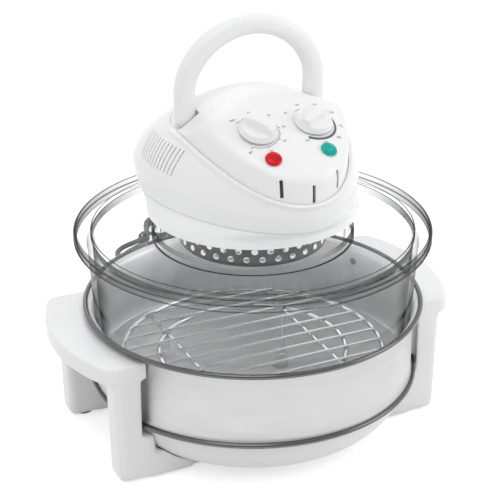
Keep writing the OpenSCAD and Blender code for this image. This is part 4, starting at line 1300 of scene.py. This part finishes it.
# ---------------------------------------------------------------- head
AROUND = 176
TURNS = [TAU * i / AROUND for i in range(AROUND)]


def panel_ring(s, wall, drop):
    """A ring on the panel's face, s of the way out and lowered by drop."""
    return [(*panel_edge(t, s, wall), panel_z(t, s, wall) - drop) for t in TURNS]


def pocket_solid(name, more, side):
    """The space that a leg of the carry handle swings in, or with more, the pocket's own walls."""
    half = BAR_R + 1.6 + more
    low = half - 0.3
    reach = 62
    c, s = math.cos(FOLD), math.sin(FOLD)
    outline = [(-low, reach), (reach, reach), (reach * s + low * c, reach * c - low * s)]
    outline += [polar(half, -FOLD + (FOLD - math.pi) * i / 20) for i in range(21)]
    inner = BAR_X - BAR_R - 0.5 - more
    outer = 74.2 if more else PANEL_W + 3
    return extruded(name, outline, inner, outer,
                    lambda a, b, c: (side * c, PIVOT_Y + a, PIVOT_Z + b))


class OVEN_OT_head(bpy.types.Operator):
    """Makes the neck ring, the housing with its vents and the control panel"""

    bl_idname = "oven.head"
    bl_label = "Head"

    def execute(self, context):
        sizes = context.scene.oven_sizes
        self.neck_ring()
        self.housing(sizes)
        self.panel()
        return {"FINISHED"}

    def neck_ring(self):
        """Turns from the round glass lip to the egg-shaped seam."""
        foot_r = LIP_R + 2 * GAP + SHELL_T - GAP
        foot_z = NECK_TOP - 7
        round_to = NECK_TOP + 2 * GAP
        rise = SEAM_Z - round_to
        lining = SHELL_T - GAP
        ledge = SHELL_T + 3.7

        def ring(share, out, z):
            points = []
            for t in TURNS:
                x, y = egg(t, EGG_TAPER, out)
                cx, cy = polar(foot_r - out, t)
                points.append((cx * (1 - share) + x * share, cy * (1 - share) + y * share, z))
            return points

        rings = [ring(0, 0.6, foot_z), ring(0, 0.1, foot_z + 0.5), ring(0, 0, foot_z + 1.4),
                 ring(0, 0, round_to)]
        rings += [ring(ease(k / 12), 0, round_to + rise * k / 12) for k in range(1, 12)]
        rings += [ring(1, 0.2, SEAM_Z - 0.8), ring(1, 0.8, SEAM_Z - 0.2), ring(1, 1.4, SEAM_Z),
                  ring(1, SHELL_T, SEAM_Z)]
        rings += [ring(ease(k / 8), lining, round_to + rise * k / 8) for k in range(7, -1, -1)]
        rings += [ring(0, lining, foot_z + 3), ring(0, ledge, foot_z + 3), ring(0, ledge, foot_z)]
        skin = settle(ring_skin("neck_ring_skin", rings), 40)
        finish_piece(skin, "plastic", "lid", "white_plastic", "neck_ring")

    def housing(self, sizes):
        """The wall and the dome, with a lip round the panel, two rows of vents and a cord seat."""
        lip_high, lip_in, lip_wide = sizes.bead / MM, 3.1, 2.1

        def wall(h, w, up=0.0):
            s = EGG_TAPER + (1 - EGG_TAPER) * math.sin(math.pi / 2 * h)
            return [(*egg(t, s, w), SEAM_Z + (WALL_TOP - SEAM_Z) * h + up) for t in TURNS]

        def dome(u, w):
            ring = []
            for t in TURNS:
                a, b = Vector(egg(t, 1, w)), Vector(panel_edge(t, 1))
                p = a * (1 - u) + b * u
                high = dome_z(p.x, p.y, w)
                away = math.hypot((p - b).length, dome_z(b.x, b.y) - high)
                lip = lip_high * math.exp(-((away - lip_in) / lip_wide) ** 2) * (w == 0)
                lip *= ease((0.25 - math.sin(t)) * 2.5)
                out = (b - Vector((0, PANEL_MID))).normalized() * lip * 0.8
                ring.append((p.x + out.x, p.y + out.y, high + lip * 0.6))
            return ring

        shares = {round((j / 26) ** 1.7, 5) for j in range(27)}
        shares |= {0.1, 0.2, 0.3, 0.4, 0.5, 0.8, 0.85, 0.9, 0.93, 0.96, 0.975, 0.99}
        shares = sorted(shares)
        few = sorted(set(shares[::3]) | {1.0})
        skin = [wall(0, 1.2), wall(0, 0.3, 0.35), wall(0.05, 0)]
        skin += [wall(k / 8, 0) for k in range(1, 8)]
        skin += [dome(u, 0) for u in shares]
        skin += [dome(u, SHELL_T) for u in reversed(few)]
        skin += [wall(k / 3, SHELL_T) for k in (2, 1, 0)]
        housing = settle(ring_skin("housing_skin", skin), 40)
        half = Vector(VENT_SIZE) / 2
        vents = moved(boxed("vent", -half, half), turned(VENT_LEAN, "X"))
        vents = copied(vents, "plastic", sizes.vent_count, (0, sizes.vent_pitch / MM, 0),
                       more=(VENT_FAN, 0, 0))
        moved(vents, to_place(VENT_AT[0], VENT_AT[1], SEAM_Z + VENT_AT[2]))
        combine(housing, joined("vents", vents, mirrored(vents, "vents")), "DIFFERENCE")
        seat = revolved("seat", [(0, -11.4), (5, -11.4), (5, 0), (8.6, 0), (8.6, 9), (0, 9)], 48)
        moved(seat, to_place(0, GLAND_Y - GLAND_L - 0.6, GLAND_Z), turned(-90, "X"))
        combine(housing, seat, "DIFFERENCE")
        finish_piece(settle(housing, 40), "plastic", "lid", "white_plastic", "upper_housing")

    def panel(self):
        """The sloping island with the handle's two pockets and its three slots."""
        inside = SHELL_T + GAP
        middle = panel_z(0, 0)
        shares = [0.9995, 0.998, 0.995, 0.99, 0.982, 0.97, 0.955, 0.935, 0.91, 0.88, 0.84, 0.79,
                  0.73, 0.65, 0.55, 0.43, 0.3, 0.16]

        def skirt(w, drop):
            return [(*panel_edge(t, 1, w), dome_z(*panel_edge(t, 1)) - drop) for t in TURNS]

        rings = [panel_ring(s, inside, SHELL_T) for s in shares[::-2]]
        rings += [skirt(inside, 6), skirt(GAP, 6), panel_ring(1, GAP, 0)]
        rings += [panel_ring(s, GAP, 0) for s in shares]
        caps = ((0, PANEL_MID, middle - 2 * SHELL_T), (0, PANEL_MID, middle))
        panel = settle(ring_skin("panel_skin", rings, closed=False, caps=caps), 45)
        floor = PIVOT_Z - 14
        fill = [[(x, y, min(z, floor)) for x, y, z in skirt(1, 6)], panel_ring(1, 1, 1)]
        fill += [panel_ring(s, 1, 1) for s in shares[2::2]]
        caps = ((0, PANEL_MID, floor), (0, PANEL_MID, middle - 1))
        for side in (1, -1):
            walls = pocket_solid("pocket_walls", 2.4, side)
            block = settle(ring_skin("fill", fill, closed=False, caps=caps))
            combine(walls, block, "INTERSECT")
            combine(panel, walls, "UNION")
            combine(panel, pocket_solid("pocket", 0.0, side), "DIFFERENCE")
        slots, painted_shade_plates = [], []
        for x, y, z, deep in PANEL_SLOTS:
            place = to_place(x, y, SEAM_Z + z), turned(SLOT_LEAN, "X"), turned(x * 0.62, "Z")
            slot = bevelled(boxed("slot", (-1.6, -6, -8.2), (1.6, 8, 8.2)), 0.8, 2)
            # Painted shade: a dark plate behind each slot, where the housing has only shade
            back = bevelled(boxed("back", (-3, deep, -9.4), (3, deep + 0.7, 9.4)), 0.3, 2)
            slots.append(moved(slot, *place))
            painted_shade_plates.append(moved(back, *place))
        combine(panel, joined("slots", *slots), "DIFFERENCE")
        finish_piece(settle(joined("painted_slot_shade", *painted_shade_plates), 40), "dark", "lid", "dial_bodies")
        finish_piece(settle(panel, 45), "plastic", "lid", "white_plastic", "control_panel")


# ---------------------------------------------------------------- controls
PRINT_R = 19.6


def surface_print(name, verts, faces, side, lift=0.12):
    """Flat print in the plane of a knob, laid on the panel's face. side is -1 or 1."""
    laid = []
    for u, v in verts:
        x = side * KNOB_X + u
        y = KNOB_Y + v * math.cos(math.radians(KNOB_SLOPE))
        laid.append((x, y, face_z(x, y) + lift))
    return new_object(name, laid, faces)


def arc_band(r_in, r_out, start, end, count=72):
    """An arc whose width may change along it; angles clockwise from the top, in degrees."""
    verts, faces = [], []
    for i in range(count + 1):
        share = i / count
        a = math.radians(90 - (start + (end - start) * i / count))
        verts += [polar(first + (last - first) * share, a) for first, last in (r_in, r_out)]
        if i:
            faces.append([2 * i - 2, 2 * i - 1, 2 * i + 1, 2 * i])
    return verts, faces


def figures(text, size, u, v):
    """The outline of printed figures as flat points and faces, centred on a place."""
    curve = bpy.data.curves.new("figures", "FONT")
    curve.body = text
    curve.size = size
    curve.align_x = curve.align_y = "CENTER"
    curve.resolution_u = 3
    obj = bake(link_new("figures", curve))
    verts = [(p.co.x + u, p.co.y + v) for p in obj.data.vertices]
    faces = [list(p.vertices) for p in obj.data.polygons]
    drop(obj)
    return verts, faces


class OVEN_OT_controls(bpy.types.Operator):
    """Makes the knobs, the print round them and the signal lenses"""

    bl_idname = "oven.controls"
    bl_label = "Controls"

    def execute(self, context):
        self.knob("timer_knob_cap", -1, 52, "timer_dial", "timer_knob")
        self.knob("thermostat_knob_cap", 1, -28, "thermostat_dial", "thermostat_knob")
        self.prints()
        self.lens("red_lens_cap", -1, "red", "red_lens")
        self.lens("green_lens_cap", 1, "green", "green_lens")
        return {"FINISHED"}

    def knob(self, name, side, turn, body, node):
        """A round skirt with a bar across it that is dipped on both sides."""
        n, m = 112, 46
        rise = 1.6

        def height(x, y, r):
            skirt = 5.4 - 4.4 * ease((r - KNOB_R + 3) / 3) ** 1.5
            bar = ease((6.8 - abs(y)) / 3.2) * ease((KNOB_R - 1.4 - r) / 2.2)
            crown = 13.4 - 0.014 * x * x - 0.03 * y * y
            dip = 1.4 * ease((KNOB_R - 3.6 - r) / 6) * (1 - ease((6.8 - abs(y)) / 3.2))
            return max(skirt - dip, skirt + (crown - skirt) * bar)

        rings = [circle(r, rise + z, n) for r, z in (
            (0, 3.2), (KNOB_R - 2.4, 3.2), (KNOB_R - 1.7, 0.2), (KNOB_R - 0.4, 0), (KNOB_R, 0.3))]
        for j in range(m, -1, -1):
            r = KNOB_R * (j / m) ** 0.85
            rings.append([(x, y, rise + height(x, y, r)) for x, y, _ in circle(r, 0, n)])
        cap = settle(ring_skin(name, rings, closed=False), 48)
        moved(cap, to_place(side * KNOB_X, KNOB_Y, face_z(side * KNOB_X, KNOB_Y)),
              turned(KNOB_SLOPE, "X"), turned(-turn, "Z"))
        finish_piece(cap, "knob", body, "white_plastic", node)

    def prints(self):
        """The timer's scale with its figures, and the thermostat's wedge with its own."""
        ring = PRINT_R
        left = [arc_band((ring, ring), (ring + 0.35, ring + 0.35), -40, 218)]
        for i in range(13):
            a = -40 + i * 258 / 12
            long = ring + (1.2 if i % 2 else 2.0)
            left.append(arc_band((ring, ring), (long, long), a - 0.8, a + 0.8, 1))
            if i % 2 == 0:
                place = polar(25.4, math.radians(90 - a))
                left.append(figures(str(i * 5) if i else "OFF", 3.4, *place))
        right = [arc_band((ring, ring - 0.2), (ring + 0.4, ring + 2.8), -30, 215, 96)]
        for i, text in enumerate(("65", "100", "125", "150", "175", "200", "225", "250")):
            t = math.radians(90 - (-48 + i * 263 / 7))
            right.append(figures(text, 3.2, 26.2 * math.cos(t), 25.6 * math.sin(t)))
        marks = [surface_print("mark", *shape, side) for side, shapes in ((-1, left), (1, right))
                 for shape in shapes]
        finish_piece(settle(joined("dial_print", *marks), 30, 1e-6), "ink", "lid", "dial_bodies")

    def lens(self, name, side, colour, node):
        """A low dome on a flange, with a stem in the panel."""
        r = LENS_R
        profile = [(0, -6), (4.8, -6), (4.8, 0), (r - 0.3, 0), (r, 0.3), (r, 0.7), (r - 0.25, 1.0)]
        for degrees in range(8, 90, 8):
            a = math.radians(degrees)
            profile.append((r * math.cos(a) * 0.965, 1.0 + 2.1 * math.sin(a)))
        cap = revolved(name, profile + [(0, 3.1)], 64)
        moved(cap, to_place(side * LENS_X, LIGHT_Y, face_z(side * LENS_X, LIGHT_Y)),
              turned(LENS_SLOPE, "X"), turned(side * 6, "Y"), to_place(0, 0, 0.5))
        finish_piece(cap, colour, "lid", node, node)


# ---------------------------------------------------------------- carry handle
class OVEN_OT_carry(bpy.types.Operator):
    """Makes the fold-back carry handle"""

    bl_idname = "oven.carry"
    bl_label = "Carry handle"

    def execute(self, context):
        corner_x = BAR_X - BAR_CORNER
        high = BAR_RISE - BAR_LEG
        crown = (corner_x ** 2 + high ** 2 - BAR_CORNER ** 2) / (2 * (high - BAR_CORNER))
        bend = 90 - math.degrees(math.atan2(corner_x, crown - high))
        # The rounded end of a leg, the leg, its corner and half of the crown
        tip = [math.radians(a) for a in range(0, 91, 10)]
        line = [(BAR_X, -BAR_R * math.cos(a)) for a in tip]
        line += [(BAR_X, BAR_LEG * k / 5) for k in range(1, 5)]
        line += arc(corner_x, BAR_LEG, BAR_CORNER, 0, bend, 16)
        line += arc(0, BAR_RISE - crown, crown, bend, 90, 20)[1:]
        scale = [math.sin(a) for a in tip]
        scale += [1.0] * (len(line) - len(scale))
        line += [(-x, z) for x, z in reversed(line[:-1])]
        scale += list(reversed(scale[:-1]))
        around = [squarish(TAU * k / 40, 2 / 2.35) for k in range(40)]

        def section(i):
            r = BAR_R * max(0.02, scale[i])
            return [(r * a, r * b) for a, b in around]

        path = [(x, PIVOT_Y, PIVOT_Z + z) for x, z in line]
        bar = swept("carry_bar", path, section, up=(0, 1, 0))
        finish_piece(bar, "plastic", "handle", "white_plastic", "carry_handle")
        return {"FINISHED"}


# ---------------------------------------------------------------- inside the lid
class OVEN_OT_inside(bpy.types.Operator):
    """Makes the perforated lamp guard and dresses the pieces inside the head"""

    bl_idname = "oven.inside"
    bl_label = "Inside"

    def execute(self, context):
        self.guard(context.scene.oven_sizes.guard_rows)
        self.lamp()
        dress("dish", "front_strap", "rear_strap")
        dress("screw", "band_screws", "strap_screws", "guard_screws", "housing_screws",
              "motor_bolts", "handle_pins")
        dress("foot", "rubber_feet")
        dress("pad", "bowl_pads", "neck_seal")
        dress("reflector", "reflector_pan", "convection_fan", "cooling_fan")
        dress("ceramic", "lamp_clips", "terminal_block", "pilot_lamps")
        dress("dark", "timer_body", "thermostat_body", "safety_switch")
        dress("turned", "timer_shaft", "thermostat_shaft", "fan_shaft", "motor_brackets")
        dress("core", "motor_stator", "motor_rotor")
        dress("coil", "motor_coil")
        return {"FINISHED"}

    def guard(self, rows):
        """A cup of thin sheet with round holes in rows in its wall and in rings in its floor."""
        low, high = cad_mm("lamp_guard")
        radius, floor, top = 70.0, low[2], high[2]
        count, wedges = 30, 24
        band_low, band_high = floor + 3, floor + 27
        cell_h = (band_high - band_low) / rows

        def cell(place, hole):
            """A square cell with a round hole, as sixteen quads; place maps (a, b) of -1 to 1."""
            edge, inner = [], []
            for k in range(16):
                t = TAU * k / 16
                side = round(t / (TAU / 4))
                q = round(math.tan(t - TAU / 4 * side) * 2) / 2
                edge.append([(1, q), (-q, 1), (-1, -q), (q, -1)][side % 4])
                inner.append((hole[0] * math.cos(t), hole[1] * math.sin(t)))
            verts = [place(*p) for p in edge + inner]
            return verts, [[k, (k + 1) % 16, 16 + (k + 1) % 16, 16 + k] for k in range(16)]

        def cells(name, shapes):
            verts, faces = [], []
            for shape in shapes:
                v, f = cell(*shape)
                faces += [[len(verts) + i for i in face] for face in f]
                verts += v
            return new_object(name, verts, faces)

        def on_wall(row):
            def place(a, b):
                t = (a / 2 + (0.5 if row % 2 else 0)) * (TAU / count)
                return (*polar(radius, t), band_low + cell_h * (row + 0.5 + b / 2))
            return place

        def on_floor(lo, hi):
            def place(a, b):
                t = a / 2 * TAU / wedges
                return (*polar((lo + hi) / 2 + b * (hi - lo) / 2, t), floor)
            return place

        column = cells("column", [(on_wall(row), (0.42, 0.72)) for row in range(rows)])
        wedge = cells("wedge", [(on_floor(*radii), (0.56, 0.56))
                                for radii in ((22, 36), (36, 50), (50, 64))])

        def strip(*points):
            return ring_skin("strip", [circle(r, z, 120) for r, z in points], closed=False)

        parts = [copied(column, "guard", count, turns=(0, 0, 360 / count)),
                 copied(wedge, "guard", wedges, turns=(0, 0, 360 / wedges)),
                 strip((0.01, floor), (22, floor)),
                 strip((64, floor), (68, floor), (69.4, floor + 0.5), (70, floor + 1.6),
                       (70, band_low)),
                 strip((70, band_high), (70, top - 1.5), (70.6, top - 0.6), (71.5, top - 0.3),
                       (79.6, top - 0.3))]
        guard = settle(joined("lamp_guard_skin", *parts), 40, 4e-5)
        modified(guard, "SOLIDIFY", thickness=0.8 * MM, offset=0)
        finish_piece(settle(bake(guard), 40), "guard", "lid", "guard", "lamp_guard")

    def lamp(self):
        """The ring of quartz tube and the wound filament in it."""
        low, high = cad_mm("halogen_lamp")
        z = (low[2] + high[2]) / 2
        r = (high[2] - low[2]) / 2
        ring = high[0] - r
        tube = revolved("quartz_ring", arc(ring, z, r, 0, 350, 35), 120)
        finish_piece(tube, "quartz", "lid", "lamp", "halogen_lamp")
        turns, steps, coil_r = 110, 10, 1.5
        path = []
        for i in range(turns * steps + 1):
            a = TAU * 0.96 * i / (turns * steps) + 0.1
            out, up = polar(coil_r, TAU * i / steps)
            path.append((*polar(ring + out, a), z + up))
        finish_piece(swept("filament", path, circle_section(0.3, 5)), "turned", "lid", "shafts")


class OVEN_PT_panel(bpy.types.Panel):
    """Lists the steps that build the oven"""

    bl_idname = "OVEN_PT_panel"
    bl_label = "Halogen oven"
    bl_space_type = "VIEW_3D"
    bl_region_type = "UI"
    bl_category = "Oven"

    def draw(self, context):
        column = self.layout.column()
        for operator in OPERATORS:
            column.operator(operator.bl_idname)
        for name in ("vent_count", "vent_pitch", "bead", "guard_rows", "edge_round"):
            column.prop(context.scene.oven_sizes, name)
        for name in ("plastic", "steel", "glass", "cord", "print_ink", "red", "green"):
            column.prop(context.scene.oven_colours, name)


OPERATORS = (OVEN_OT_materials, OVEN_OT_stage, OVEN_OT_cord, OVEN_OT_stand, OVEN_OT_glass,
             OVEN_OT_head, OVEN_OT_controls, OVEN_OT_carry, OVEN_OT_inside)
CLASSES = (OvenColours, OvenSizes) + OPERATORS + (OVEN_PT_panel,)


def register():
    for cls in CLASSES:
        bpy.utils.register_class(cls)
    bpy.types.Scene.oven_colours = bpy.props.PointerProperty(type=OvenColours)
    bpy.types.Scene.oven_sizes = bpy.props.PointerProperty(type=OvenSizes)


def unregister():
    del bpy.types.Scene.oven_sizes
    del bpy.types.Scene.oven_colours
    for cls in reversed(CLASSES):
        bpy.utils.unregister_class(cls)


def main():
    register()
    for operator in OPERATORS:
        group, name = operator.bl_idname.split(".")
        getattr(getattr(bpy.ops, group), name)()


if __name__ == "__main__":
    main()
